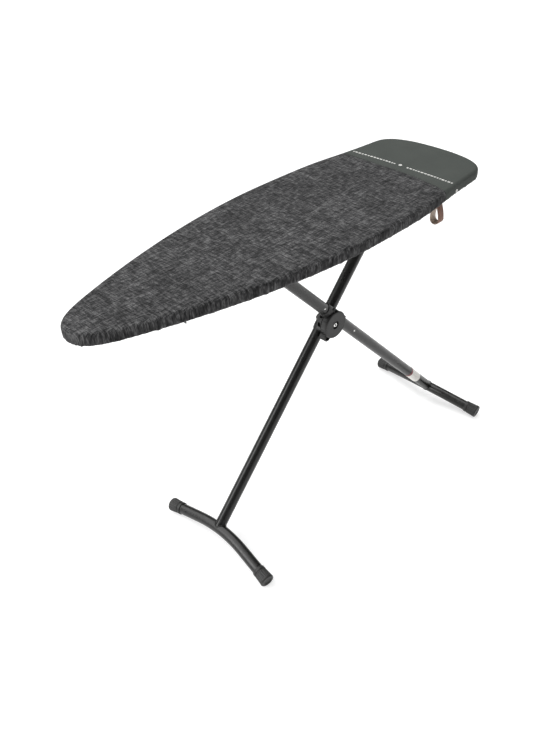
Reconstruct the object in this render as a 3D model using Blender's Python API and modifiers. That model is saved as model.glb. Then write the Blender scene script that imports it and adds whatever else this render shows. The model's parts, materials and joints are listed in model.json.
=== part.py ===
"""A folding ironing board on scissor legs, in metres, +Z up.

The origin is on the floor under the middle of the whole object. +X runs from the nose to the heat zone, and
+Y is the side away from the leather loop. The board stands at its highest setting.
"""

import math

import bmesh
import bpy
from mathutils import Matrix, Vector

# --- Driving dimensions ------------------------------------------------------------------------------------
BOARD_LENGTH = 1.350
BOARD_WIDTH = 0.458
IRONING_HEIGHT = 0.9825
BOARD_CENTRE_X = -0.0285  # the rear foot reaches past the board, so the board's middle isn't the object's

LEG_ANGLE = math.radians(47.68)  # each leg to the floor
TUBE_CROSSING_X = BOARD_CENTRE_X + 0.1815
PIVOT_HEIGHT = 0.6015
PIVOT_SET_BACK = 0.029  # the pivot bolt passes this far in front of the point where the tubes cross
HINGE_HEIGHT = 0.9255  # of the front leg's hinge and of the rear leg's sliding axle
LEG_SIDE_Y = 0.0186  # the tubes pass side by side, each this far from the middle

GAP = 0.0003  # between pieces that touch
TUBE_RADIUS = 0.0176
TUBE_WALL = 0.0012
TUBE_PAST_HINGE = 0.022

COVER_THICKNESS = 0.0015
PAD_THICKNESS = 0.0088
PAD_INSET = 0.0090  # the cover's rounded edge passes outside the pad
PANEL_THICKNESS = 0.0008
RIM_RADIUS = 0.0115
RIM_WALL = 0.0012
HEM_DEPTH = 0.028  # how far the cover reaches in under the rim
SEAM_X = BOARD_CENTRE_X + 0.4545  # where the heat zone starts

RAIL_Y = 0.0565  # outer face of a slide rail
RAIL_WALL = 0.0015
RAIL_LIP = 0.0115
RAIL_CHANNEL = 0.0186  # clear height for the slide shoe
SHOE_INNER_Y = 0.0405
RAIL_FRONT_X = BOARD_CENTRE_X - 0.472
RAIL_REAR_X = BOARD_CENTRE_X - 0.098
RACK_STEPS = 7
LOWEST_HEIGHT_RATIO = 0.72  # of the pivot linkage's height, at the last notch

FOOT_BEND_HALF = 0.10  # the foot bar bends within this distance of its middle, and is straight beyond
FOOT_SLOPE = 0.195  # of the straight ends, towards the floor
FOOT_CAP_Y = 0.227
FOOT_CAP_LENGTH = 0.048
FOOT_CAP_SOCKET = 0.040
FOOT_CAP_RADIUS = 0.0222
FOOT_CAP_WALL = 0.0027
FOOT_FLAT_DEPTH = 0.0012  # how much of each cap is flattened where it stands

HINGE_TUBE_RADIUS = 0.008
HINGE_TUBE_WALL = 0.0015
AXLE_RADIUS = 0.006
BRACKET_INNER_Y = 0.0740
BRACKET_THICKNESS = 0.0022

DISC_RADIUS = 0.044
BARREL_RADIUS = 0.040
BOLT_RADIUS = 0.003
HUB_INNER_Y = 0.0035
HUB_OUTER_Y = 0.0402
FRONT_BOSS_Y = 0.0287  # the front bracket's boss ends here, and the nut sits on it
SLEEVE_RADIUS = 0.0212

ROD_RADIUS = 0.004
ROD_Y = -0.071
ROD_FRONT_X = BOARD_CENTRE_X - 0.413
LEVER_X = BOARD_CENTRE_X + 0.394  # where the rod turns sideways
LOOP_X = BOARD_CENTRE_X + 0.431
LOOP_Y = -0.182
LOOP_Z = 0.9345  # of the rod's axis inside the loop
ROD_Z = 0.908
BLADE_EDGE_Y = ROD_Y - 0.025
CATCH_REACH = Vector((0.031, 0.0, -0.026))  # catch pin from the axle
LOOP_WIDTH = 0.026

# --- Worked out from them ----------------------------------------------------------------------------------
UP_FRONT = Vector((math.cos(LEG_ANGLE), 0.0, math.sin(LEG_ANGLE)))  # along the front leg, upwards
UP_REAR = Vector((-math.cos(LEG_ANGLE), 0.0, math.sin(LEG_ANGLE)))
PIVOT = Vector((TUBE_CROSSING_X - PIVOT_SET_BACK, 0.0, PIVOT_HEIGHT))
ARM = (HINGE_HEIGHT - PIVOT_HEIGHT) / math.sin(LEG_ANGLE)
FRONT_HINGE = PIVOT + UP_FRONT * ARM
REAR_AXLE = PIVOT + UP_REAR * ARM
CROSSING = Vector((TUBE_CROSSING_X, 0.0, PIVOT_HEIGHT))

PAD_TOP = IRONING_HEIGHT - COVER_THICKNESS - GAP
PAD_BOTTOM = PAD_TOP - PAD_THICKNESS
PANEL_TOP = PAD_BOTTOM - GAP
PANEL_BOTTOM = PANEL_TOP - PANEL_THICKNESS
UNDERSIDE = PANEL_BOTTOM - GAP  # what hangs under the panel starts here
RIM_INSET = COVER_THICKNESS + 2 * GAP + RIM_RADIUS
RIM_Z = UNDERSIDE - RIM_RADIUS
HEM_TOP = RIM_Z - RIM_RADIUS - GAP
HEM_BOTTOM = HEM_TOP - COVER_THICKNESS

FLOOR_SIDE = 0.5  # a cutter larger than anything it cuts


def clear_scene():
    for obj in list(bpy.data.objects):
        bpy.data.objects.remove(obj, do_unlink=True)
    for mesh in list(bpy.data.meshes):
        bpy.data.meshes.remove(mesh)


def new_collection(name):
    collection = bpy.data.collections.new(name)
    bpy.context.scene.collection.children.link(collection)
    return collection


clear_scene()
PARTS = new_collection("ironing_board")
CUTTERS = new_collection("cutters")


def make_material(name, colour, roughness, metallic=0.0):
    material = bpy.data.materials.new(name)
    material.use_nodes = True
    shader = material.node_tree.nodes["Principled BSDF"]
    shader.inputs["Base Color"].default_value = (*colour, 1.0)
    shader.inputs["Roughness"].default_value = roughness
    shader.inputs["Metallic"].default_value = metallic
    return material


DENIM = make_material("charcoal_denim", (0.055, 0.056, 0.058), 0.9)
HEAT_CLOTH = make_material("heat_zone_cloth", (0.052, 0.056, 0.053), 0.85)
FELT = make_material("grey_felt", (0.45, 0.45, 0.44), 0.95)
BLACK_PAINT = make_material("black_painted_steel", (0.018, 0.018, 0.019), 0.3, 0.2)
BLACK_PLASTIC = make_material("black_plastic", (0.025, 0.025, 0.026), 0.5)
GREY_PLASTIC = make_material("grey_plastic", (0.16, 0.16, 0.165), 0.5)
ZINC = make_material("zinc_plated_steel", (0.6, 0.6, 0.6), 0.35, 1.0)
BRIGHT_STEEL = make_material("bright_steel", (0.75, 0.75, 0.74), 0.2, 1.0)
LEATHER = make_material("brown_leather", (0.24, 0.13, 0.09), 0.6)
LABEL = make_material("pale_label", (0.8, 0.78, 0.74), 0.5)


# --- Making shapes -----------------------------------------------------------------------------------------
def add_object(name, data, material=None):
    """A new object for this mesh or curve: a part, or a cutter where it has no material."""
    obj = bpy.data.objects.new(name, data)
    if material:
        obj.data.materials.append(material)
        PARTS.objects.link(obj)
    else:
        CUTTERS.objects.link(obj)
        obj.hide_render = True
        obj.display_type = "WIRE"
    return obj


def mesh_from(bm, name):
    mesh = bpy.data.meshes.new(name)
    bm.to_mesh(mesh)
    bm.free()
    return mesh


def smooth(obj):
    obj.data.shade_smooth()
    obj.data.set_sharp_from_angle(angle=math.radians(35))


def cylinder(name, start, end, radius, material=None, segments=24):
    start, end = Vector(start), Vector(end)
    along = end - start
    turn = along.to_track_quat("Z", "Y").to_matrix().to_4x4()
    place = Matrix.Translation((start + end) / 2) @ turn
    bm = bmesh.new()
    bmesh.ops.create_cone(
        bm,
        cap_ends=True,
        segments=segments,
        radius1=radius,
        radius2=radius,
        depth=along.length,
        matrix=place,
    )
    obj = add_object(name, mesh_from(bm, name), material)
    if segments > 6:
        smooth(obj)
    return obj


def box(name, low, high, material=None):
    low, high = Vector(low), Vector(high)
    size = Matrix.Diagonal((*(high - low), 1.0))
    bm = bmesh.new()
    bmesh.ops.create_cube(bm, size=1.0, matrix=Matrix.Translation((low + high) / 2) @ size)
    return add_object(name, mesh_from(bm, name), material)


def combine(obj, other, operation):
    boolean = obj.modifiers.new(operation.lower(), "BOOLEAN")
    boolean.operation = operation
    boolean.solver = "EXACT"
    boolean.object = other
    return obj


def cut(obj, *cutters):
    for cutter in cutters:
        combine(obj, cutter, "DIFFERENCE")
    return obj


def join(obj, *others):
    for other in others:
        combine(obj, other, "UNION")
    return obj


def poly_curve(name, points, closed=False):
    curve = bpy.data.curves.new(name, "CURVE")
    curve.dimensions = "3D"
    spline = curve.splines.new("POLY")
    spline.points.add(len(points) - 1)
    for place, point in zip(spline.points, points):
        place.co = (*point, 1.0)
    spline.use_cyclic_u = closed
    return curve


def mesh_of_curve(obj, name, material):
    """The curve's surface as a mesh object in its place, with the curve removed."""
    bpy.context.view_layer.update()
    graph = bpy.context.evaluated_depsgraph_get()
    mesh = bpy.data.meshes.new_from_object(obj.evaluated_get(graph))
    mesh.name = name
    mesh.materials.clear()
    bm = bmesh.new()
    bm.from_mesh(mesh)
    bmesh.ops.remove_doubles(bm, verts=bm.verts, dist=1e-6)
    bm.to_mesh(mesh)
    bm.free()
    place = obj.matrix_world.copy()
    bpy.data.objects.remove(obj)
    made = add_object(name, mesh, material)
    made.matrix_world = place
    return made


def round_bar(name, points, radius, material=None, resolution=6, closed=False):
    """A solid bar or wire along the points."""
    curve = poly_curve(name + "_path", points, closed)
    curve.bevel_depth = radius
    curve.bevel_resolution = resolution
    curve.use_fill_caps = True
    obj = mesh_of_curve(add_object(name + "_path", curve), name, material)
    smooth(obj)
    return obj


def pipe(name, points, radius, wall, material, resolution=8):
    """A hollow tube along the points, open at both ends."""
    curve = poly_curve(name + "_path", points)
    curve.bevel_depth = radius
    curve.bevel_resolution = resolution
    obj = mesh_of_curve(add_object(name + "_path", curve), name, material)
    smooth(obj)
    shell = obj.modifiers.new("wall", "SOLIDIFY")
    shell.thickness = wall
    shell.offset = -1.0
    return obj


def plate(name, outline, thickness, place, material=None, holes=()):
    """A flat plate from 2D outlines, centred on its thickness, then set in place."""
    curve = bpy.data.curves.new(name, "CURVE")
    curve.dimensions = "2D"
    curve.fill_mode = "BOTH"
    curve.extrude = thickness / 2
    for loop in (outline, *holes):
        spline = curve.splines.new("POLY")
        spline.points.add(len(loop) - 1)
        for target, (u, v) in zip(spline.points, loop):
            target.co = (u, v, 0.0, 1.0)
        spline.use_cyclic_u = True
    obj = add_object(name, curve)
    obj.matrix_world = place
    return mesh_of_curve(obj, name, material)


def turned(name, profile, place, material, steps=24, closed=False):
    """A turned shape: the profile's (radius, height) points run down its outer side."""
    mesh = bpy.data.meshes.new(name)
    last = len(profile) - 1
    edges = [(i, i + 1) for i in range(last)]
    if closed:
        edges.append((last, 0))
    mesh.from_pydata([(radius, 0.0, height) for radius, height in profile], edges, [])
    obj = add_object(name, mesh, material)
    obj.matrix_world = place
    screw = obj.modifiers.new("turned", "SCREW")
    screw.steps = steps
    screw.render_steps = steps
    screw.use_merge_vertices = True
    screw.merge_threshold = 1e-5
    screw.use_smooth_shade = True
    return obj


def circle(radius, centre=(0.0, 0.0), count=20):
    """Points round a circle, for an outline or a hole."""
    turns = [2 * math.pi * i / count for i in range(count)]
    return [(centre[0] + radius * math.cos(a), centre[1] + radius * math.sin(a)) for a in turns]


# Local X, Y of a plate become these world directions, and its middle goes to the given point.
def facing_y(point):
    """Plate X is world X, plate Y is world Z, and its thickness runs along world -Y."""
    return Matrix.Translation(point) @ Matrix.Rotation(math.pi / 2, 4, "X")


def facing_x(point):
    """Plate X is world Y, plate Y is world Z, and its thickness runs along world X."""
    return Matrix.Translation(point) @ Matrix.Rotation(math.pi / 2, 4, "Z") @ Matrix.Rotation(math.pi / 2, 4, "X")


# --- The board ---------------------------------------------------------------------------------------------
def bezier(start, handle, far_handle, end, count):
    """Points on a cubic curve, without its last one."""
    made = []
    for i in range(count):
        t = i / count
        s = 1 - t
        terms = (s**3, 3 * s * s * t, 3 * s * t * t, t**3)
        corners = (start, handle, far_handle, end)
        made.append(sum((Vector(c) * w for c, w in zip(corners, terms)), Vector((0.0, 0.0))))
    return made


def half_outline():
    """The +Y edge of the board from the nose tip to the rear end's middle, in board coordinates."""
    half_length = BOARD_LENGTH / 2
    half_width = BOARD_WIDTH / 2
    tip = Vector((-half_length, 0.0))
    shoulder = Vector((-half_length + 0.099, 0.0917))
    shoulder_slope = Vector((math.cos(math.radians(21)), math.sin(math.radians(21))))
    widest = Vector((0.116, half_width))
    rear_side = Vector((half_length - 0.097, 0.1920))
    rear_slope = Vector((math.cos(math.radians(-5)), math.sin(math.radians(-5))))
    rear = Vector((half_length, 0.0))
    nose = bezier(tip, tip + Vector((0, 0.0495)), shoulder - shoulder_slope * 0.0524, shoulder, 7)
    front = bezier(shoulder, shoulder + shoulder_slope * 0.056, widest - Vector((0.3206, 0)), widest, 7)
    back = bezier(widest, widest + Vector((0.2967, 0)), rear_side - rear_slope * 0.2266, rear_side, 6)
    corner = bezier(rear_side, rear_side + rear_slope * 0.0375, rear + Vector((0, 0.1860)), rear, 10)
    return nose + front + back + corner + [rear]


def board_outline(inset):
    """The board's outline moved inwards, counter-clockwise from the rear end's middle."""
    half = half_outline()
    upper = list(reversed(half))
    lower = [Vector((p.x, -p.y)) for p in half[1:-1]]
    loop = upper + lower
    count = len(loop)
    moved = []
    for i, point in enumerate(loop):
        along = (loop[(i + 1) % count] - loop[i - 1]).normalized()
        inwards = Vector((-along.y, along.x))
        moved.append(point + inwards * inset + Vector((BOARD_CENTRE_X, 0.0)))
    return moved


def make_cover():
    """The fitted cover: one skin over the top, down the side and in under the rim, in two pieces."""
    mid = COVER_THICKNESS / 2
    top = IRONING_HEIGHT - mid
    bottom = HEM_BOTTOM + mid
    rings = (
        (0.0080, top),
        (0.0030, top - 0.0012),
        (mid, top - 0.0050),
        (mid, bottom + 0.0040),
        (0.0020, bottom + 0.0010),
        (0.0055, bottom),
        (HEM_DEPTH, bottom),
    )
    bm = bmesh.new()
    loops = []
    for inset, height in rings:
        loops.append([bm.verts.new((p.x, p.y, height)) for p in board_outline(inset)])
    bm.faces.new(loops[0])
    for upper, lower in zip(loops, loops[1:]):
        count = len(upper)
        for i in range(count):
            j = (i + 1) % count
            bm.faces.new((upper[i], lower[i], lower[j], upper[j]))
    skin = mesh_from(bm, "cover_skin")
    for name, material, sign in (("cover_main", DENIM, -1), ("cover_heat_zone", HEAT_CLOTH, 1)):
        bm = bmesh.new()
        bm.from_mesh(skin)
        seam = (SEAM_X + sign * GAP / 2, 0.0, 0.0)
        geometry = bm.verts[:] + bm.edges[:] + bm.faces[:]
        bmesh.ops.bisect_plane(bm, geom=geometry, plane_co=seam, plane_no=(-sign, 0, 0), clear_outer=True)
        obj = add_object(name, mesh_from(bm, name), material)
        smooth(obj)
        cloth = obj.modifiers.new("cloth", "SOLIDIFY")
        cloth.thickness = COVER_THICKNESS
        cloth.offset = 0.0
        cloth.use_even_offset = True
    bpy.data.meshes.remove(skin)


def make_pad_and_panel():
    flat = Matrix.Translation((0.0, 0.0, (PAD_TOP + PAD_BOTTOM) / 2))
    plate("felt_pad", board_outline(PAD_INSET), PAD_THICKNESS, flat, FELT)
    flat = Matrix.Translation((0.0, 0.0, (PANEL_TOP + PANEL_BOTTOM) / 2))
    plate("board_panel", board_outline(RIM_INSET - 0.004), PANEL_THICKNESS, flat, ZINC)


def make_rim():
    """A hollow ring with a butt joint in the middle of the rear end."""
    joint = 0.0004
    loop = board_outline(RIM_INSET)
    first, last = loop[0].copy(), loop[0].copy()
    first.y += joint
    last.y -= joint
    points = [(p.x, p.y, RIM_Z) for p in [first, *loop[1:], last]]
    pipe("board_rim", points, RIM_RADIUS, RIM_WALL, BLACK_PAINT, resolution=3)


def make_braces():
    thickness = 0.005
    half_width = 0.010
    reaches = {"front": (-0.520, 0.0820), "middle": (0.120, 0.2010), "rear": (0.530, 0.1675)}
    for name, (x, reach) in reaches.items():
        low = (BOARD_CENTRE_X + x - half_width, -reach, UNDERSIDE - thickness)
        high = (BOARD_CENTRE_X + x + half_width, reach, UNDERSIDE)
        box(f"cross_brace_{name}", low, high, BLACK_PAINT)


def rail_section(side):
    """A slide rail's section as (y, z): a web with a fixing flange and the two lips of the shoe's channel."""
    web = RAIL_Y - RAIL_WALL
    tip = RAIL_Y - RAIL_LIP
    flange_width = 0.0155
    upper = HINGE_HEIGHT + RAIL_CHANNEL / 2
    lower = HINGE_HEIGHT - RAIL_CHANNEL / 2
    flange = RAIL_Y - flange_width
    points = [
        (RAIL_Y, UNDERSIDE),
        (flange, UNDERSIDE),
        (flange, UNDERSIDE - RAIL_WALL),
        (web, UNDERSIDE - RAIL_WALL),
        (web, upper + RAIL_WALL),
        (tip, upper + RAIL_WALL),
        (tip, upper),
        (web, upper),
        (web, lower),
        (tip, lower),
        (tip, lower - RAIL_WALL),
        (RAIL_Y, lower - RAIL_WALL),
    ]
    return [(side * y, z) for y, z in points]


def make_rails():
    middle = ((RAIL_FRONT_X + RAIL_REAR_X) / 2, 0.0, 0.0)
    for name, side in (("left", -1), ("right", 1)):
        length = RAIL_REAR_X - RAIL_FRONT_X
        plate(f"slide_rail_{name}", rail_section(side), length, facing_x(middle), ZINC)


def notch_places():
    """Where the catch pin stands at each height, from the highest down."""
    highest = math.sin(LEG_ANGLE)
    made = []
    for i in range(RACK_STEPS):
        ratio = 1 - (1 - LOWEST_HEIGHT_RATIO) * i / (RACK_STEPS - 1)
        angle = math.asin(highest * ratio)
        made.append(FRONT_HINGE.x - 2 * ARM * math.cos(angle) + CATCH_REACH.x)
    return made


def make_rack():
    """A toothed strip on the left rail. The catch pin rests in its notches."""
    thickness = 0.003
    top = HINGE_HEIGHT + 0.008
    over_pin = 0.0005
    bottom = HINGE_HEIGHT + CATCH_REACH.z + ROD_RADIUS + over_pin
    past_front, past_rear = 0.020, 0.014
    notch_depth = 0.007
    half_mouth = 0.0062
    half_root = 0.0045
    places = notch_places()
    outline = [(places[-1] - past_front, top), (places[-1] - past_front, bottom)]
    for x in reversed(places):
        outline.append((x - half_mouth, bottom))
        outline.append((x - half_root, bottom + notch_depth))
        outline.append((x + half_root, bottom + notch_depth))
        outline.append((x + half_mouth, bottom))
    outline += [(places[0] + past_rear, bottom), (places[0] + past_rear, top)]
    y = -(RAIL_Y + GAP + thickness / 2)
    plate("height_rack", outline, thickness, facing_y((0.0, y, 0.0)), ZINC)


def make_hinge_mount():
    """The strip under the panel and the two brackets that carry the front leg's hinge tube."""
    thickness = 0.003
    half_length = 0.032
    half_width = 0.088
    low = (FRONT_HINGE.x - half_length, -half_width, UNDERSIDE - thickness)
    high = (FRONT_HINGE.x + half_length, half_width, UNDERSIDE)
    box("hinge_mount_plate", low, high, BLACK_PAINT)
    top = UNDERSIDE - thickness - GAP - FRONT_HINGE.z
    rounding = 0.0145
    half_top = 0.028
    lower_arc = [
        (rounding * math.cos(a), rounding * math.sin(a))
        for a in (math.radians(-180 + 22.5 * i) for i in range(9))
    ]
    outline = [(-half_top, top), *lower_arc, (half_top, top)]
    bore = circle(HINGE_TUBE_RADIUS + GAP)
    for name, side in (("left", -1), ("right", 1)):
        y = side * (BRACKET_INNER_Y + BRACKET_THICKNESS / 2)
        place = facing_y((FRONT_HINGE.x, y, FRONT_HINGE.z))
        plate(f"hinge_bracket_{name}", outline, BRACKET_THICKNESS, place, BLACK_PAINT, [bore])


def make_rod_guides():
    """Plates that hang from the panel and hold the release rod."""
    thickness = 0.002
    half_width = 0.0075
    top = UNDERSIDE - ROD_Z
    outline = [(-half_width, top), (-half_width, -half_width), (half_width, -half_width), (half_width, top)]
    bore = circle(ROD_RADIUS + GAP, count=16)
    for name, x in (("front", -0.405), ("middle", -0.084), ("rear", 0.365)):
        place = facing_x((BOARD_CENTRE_X + x, ROD_Y, ROD_Z))
        plate(f"rod_guide_{name}", outline, thickness, place, BLACK_PAINT, [bore])


# --- The legs ----------------------------------------------------------------------------------------------
def foot_drop(y):
    """How far the foot bar has moved down along the leg at this distance from its middle."""
    away = abs(y)
    if away < FOOT_BEND_HALF:
        return FOOT_SLOPE * away**2 / (2 * FOOT_BEND_HALF)
    return FOOT_SLOPE * (away - FOOT_BEND_HALF / 2)


def foot_middle(up):
    """The middle of the foot bar, at the height that sets its caps on the floor."""
    slant = math.hypot(1.0, FOOT_SLOPE)
    cap_tilt = up.z * FOOT_SLOPE / slant
    cap_low = FOOT_CAP_RADIUS * math.sqrt(1 - cap_tilt**2)
    height = up.z * foot_drop(FOOT_CAP_Y) + cap_low - FOOT_FLAT_DEPTH
    return CROSSING - up * ((PIVOT_HEIGHT - height) / up.z)


def foot_point(up, y):
    return foot_middle(up) - up * foot_drop(y) + Vector((0.0, y, 0.0))


def foot_path(up):
    slant = math.hypot(1.0, FOOT_SLOPE)
    end = FOOT_CAP_Y - (FOOT_CAP_LENGTH - FOOT_CAP_SOCKET + GAP) / slant
    bend = [FOOT_BEND_HALF * i / 5 for i in range(-5, 6)]
    return [foot_point(up, y) for y in (-end, *bend, end)]


def make_foot(name, up):
    """A foot bar and its two end caps, flattened where they stand on the floor."""
    pipe(f"{name}_foot_bar", foot_path(up), TUBE_RADIUS, TUBE_WALL, BLACK_PAINT, resolution=6)
    length = FOOT_CAP_LENGTH
    collar = TUBE_RADIUS + FOOT_CAP_WALL
    socket = TUBE_RADIUS + GAP
    dish = 0.002
    dish_radius = 0.0125
    rounding = 0.0015
    flare_end = length - 0.012
    collar_end = 0.012
    profile = [
        (0.0, length - dish),
        (dish_radius, length - dish),
        (dish_radius + rounding, length),
        (FOOT_CAP_RADIUS - rounding, length),
        (FOOT_CAP_RADIUS, length - rounding),
        (FOOT_CAP_RADIUS, flare_end),
        (collar, collar_end),
        (collar, 0.0),
        (socket, 0.0),
        (socket, FOOT_CAP_SOCKET),
        (0.0, FOOT_CAP_SOCKET),
    ]
    floor = box(f"{name}_floor", (-FLOOR_SIDE, -FLOOR_SIDE, -0.01), (2 * FLOOR_SIDE, FLOOR_SIDE, 0.0))
    for side_name, side in (("left", -1), ("right", 1)):
        outwards = (Vector((0.0, side, 0.0)) - up * FOOT_SLOPE).normalized()
        start = foot_point(up, side * FOOT_CAP_Y) - outwards * length
        place = Matrix.Translation(start) @ outwards.to_track_quat("Z", "X").to_matrix().to_4x4()
        cap = turned(f"{name}_foot_cap_{side_name}", profile, place, BLACK_PLASTIC, steps=28)
        cut(cap, floor)


def tube_line(up, y):
    """The point beside the pivot bolt where a leg tube's axis passes, and the point beside its top hinge."""
    crossing = CROSSING + Vector((0.0, y, 0.0))
    top = FRONT_HINGE if up is UP_FRONT else REAR_AXLE
    beside_top = crossing + up * (top - CROSSING).dot(up)
    return crossing, beside_top


def make_leg_tube(name, up, y, top_cutter):
    """A leg tube from its foot bar to just past its top hinge, coped round both, with a plug in its top."""
    crossing, beside_top = tube_line(up, y)
    bottom = foot_middle(up) - up * foot_drop(y)
    bottom.y = y
    top = beside_top + up * TUBE_PAST_HINGE
    tube = pipe(f"{name}_leg_tube", [bottom, top], TUBE_RADIUS, TUBE_WALL, BLACK_PAINT, resolution=10)
    bar = round_bar(f"{name}_foot_cope", foot_path(up), TUBE_RADIUS + GAP, resolution=6)
    cut(tube, bar, top_cutter)
    inner = TUBE_RADIUS - TUBE_WALL - GAP
    depth = 0.009
    lip = 0.0015
    rounding = 0.0007
    profile = [
        (0.0, lip),
        (TUBE_RADIUS - rounding, lip),
        (TUBE_RADIUS, lip - rounding),
        (TUBE_RADIUS, GAP),
        (inner, GAP),
        (inner, -depth),
        (0.0, -depth),
    ]
    place = Matrix.Translation(top) @ up.to_track_quat("Z", "X").to_matrix().to_4x4()
    turned(f"{name}_leg_plug", profile, place, BLACK_PLASTIC, steps=24)


def make_front_hinge_tube():
    reach = 0.083
    middle = Vector((FRONT_HINGE.x, 0.0, FRONT_HINGE.z))
    ends = [middle - Vector((0, reach, 0)), middle + Vector((0, reach, 0))]
    pipe("hinge_tube", ends, HINGE_TUBE_RADIUS, HINGE_TUBE_WALL, BLACK_PAINT, resolution=8)
    thickness = 0.003
    cap_radius = 0.0105
    for name, side in (("left", -1), ("right", 1)):
        start = middle + Vector((0, side * (reach + GAP), 0))
        end = start + Vector((0, side * thickness, 0))
        cylinder(f"hinge_cap_{name}", start, end, cap_radius, BLACK_PLASTIC, segments=20)
    return cylinder("hinge_cope", ends[0], ends[1], HINGE_TUBE_RADIUS + GAP, segments=20)


def make_rear_axle():
    inside_rail = 0.0020
    reach = RAIL_Y - inside_rail
    middle = Vector((REAR_AXLE.x, 0.0, REAR_AXLE.z))
    ends = [middle - Vector((0, reach, 0)), middle + Vector((0, reach, 0))]
    cylinder("rear_leg_axle", ends[0], ends[1], AXLE_RADIUS, ZINC, segments=20)
    return cylinder("axle_cope", ends[0], ends[1], AXLE_RADIUS + GAP, segments=20)


def make_label():
    """A thin label wrapped round the near side of the rear leg, near its foot."""
    crossing, _ = tube_line(UP_REAR, -LEG_SIDE_Y)
    from_crossing = 0.5945
    length = 0.075
    start = crossing - UP_REAR * from_crossing
    inner = TUBE_RADIUS + GAP
    sheet = 0.0003
    count = 14
    sweep = [math.radians(-105 + 210 * i / count) for i in range(count + 1)]
    outer_arc = [((inner + sheet) * math.cos(a), (inner + sheet) * math.sin(a)) for a in sweep]
    inner_arc = [(inner * math.cos(a), inner * math.sin(a)) for a in reversed(sweep)]
    along = -UP_REAR
    towards_viewer = Vector((0.0, -1.0, 0.0))
    third = along.cross(towards_viewer)
    turn = Matrix((towards_viewer, third, along)).transposed().to_4x4()
    place = Matrix.Translation(start - along * length / 2) @ turn
    plate("leg_label", outer_arc + inner_arc, length, place, LABEL)


def make_rivets():
    """Two bright rivets through the rear leg tube, one on each side of the pivot."""
    crossing, _ = tube_line(UP_REAR, -LEG_SIDE_Y)
    away = 0.0965
    surface = -LEG_SIDE_Y - TUBE_RADIUS - GAP
    profile = [(0.0, 0.0016), (0.0018, 0.0013), (0.0030, 0.0004), (0.0032, 0.0), (0.0, 0.0)]
    for name, side in (("upper", 1), ("lower", -1)):
        point = crossing + UP_REAR * (side * away)
        point.y = surface
        turned(f"rear_leg_rivet_{name}", profile, facing_y(point), BRIGHT_STEEL, steps=14)


# --- The pivot ---------------------------------------------------------------------------------------------
def pivot_at(y):
    return Vector((PIVOT.x, y, PIVOT.z))


def make_bracket(name, up, side, boss_radius, boss_end, sleeve_reach):
    """A moulded bracket: a boss round the pivot and a sleeve round one tube, and what bores it for both."""
    inner, outer = side * HUB_INNER_Y, side * boss_end
    centre = CROSSING + up * (PIVOT - CROSSING).dot(up) + Vector((0.0, side * LEG_SIDE_Y, 0.0))
    body = cylinder(name, pivot_at(inner), pivot_at(outer), boss_radius, BLACK_PLASTIC, segments=36)
    ends = [centre - up * sleeve_reach, centre + up * sleeve_reach]
    sleeve = cylinder(f"{name}_sleeve", ends[0], ends[1], SLEEVE_RADIUS, segments=28)
    join(body, sleeve)
    far = [centre - up * FLOOR_SIDE, centre + up * FLOOR_SIDE]
    tube_bore = cylinder(f"{name}_tube_bore", far[0], far[1], TUBE_RADIUS + GAP, segments=28)
    beyond = 2 * HUB_OUTER_Y
    bolt_bore = cylinder(f"{name}_bolt_bore", pivot_at(-beyond), pivot_at(beyond), BOLT_RADIUS + GAP, segments=16)
    low = pivot_at(0.0) + Vector((-FLOOR_SIDE, min(inner, -side * beyond), -FLOOR_SIDE))
    high = pivot_at(0.0) + Vector((FLOOR_SIDE, max(inner, -side * beyond), FLOOR_SIDE))
    inner_face = box(f"{name}_inner_face", low, high)
    return body, (tube_bore, bolt_bore, inner_face)


def make_rear_bracket():
    """The bracket on the near side, with a round stop lobe under its barrel."""
    body, bores = make_bracket("pivot_bracket_rear", UP_REAR, -1, BARREL_RADIUS, HUB_OUTER_Y, 0.055)
    at = Vector((-0.52, 0.0, -0.854)) * 0.046
    near, far = -0.034, -0.009
    join(body, cylinder("stop_lobe", pivot_at(near) + at, pivot_at(far) + at, 0.013, segments=20))
    cut(body, *bores)


def make_front_bracket():
    """The bracket on the far side, with a round pocket in its sleeve for the nut."""
    nut_pocket = 0.0075
    body, bores = make_bracket("pivot_bracket_front", UP_FRONT, 1, 0.0110, FRONT_BOSS_Y, 0.038)
    start, end = pivot_at(FRONT_BOSS_Y), pivot_at(2 * HUB_OUTER_Y)
    cut(body, *bores, cylinder("nut_pocket", start, end, nut_pocket, segments=20))


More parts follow.
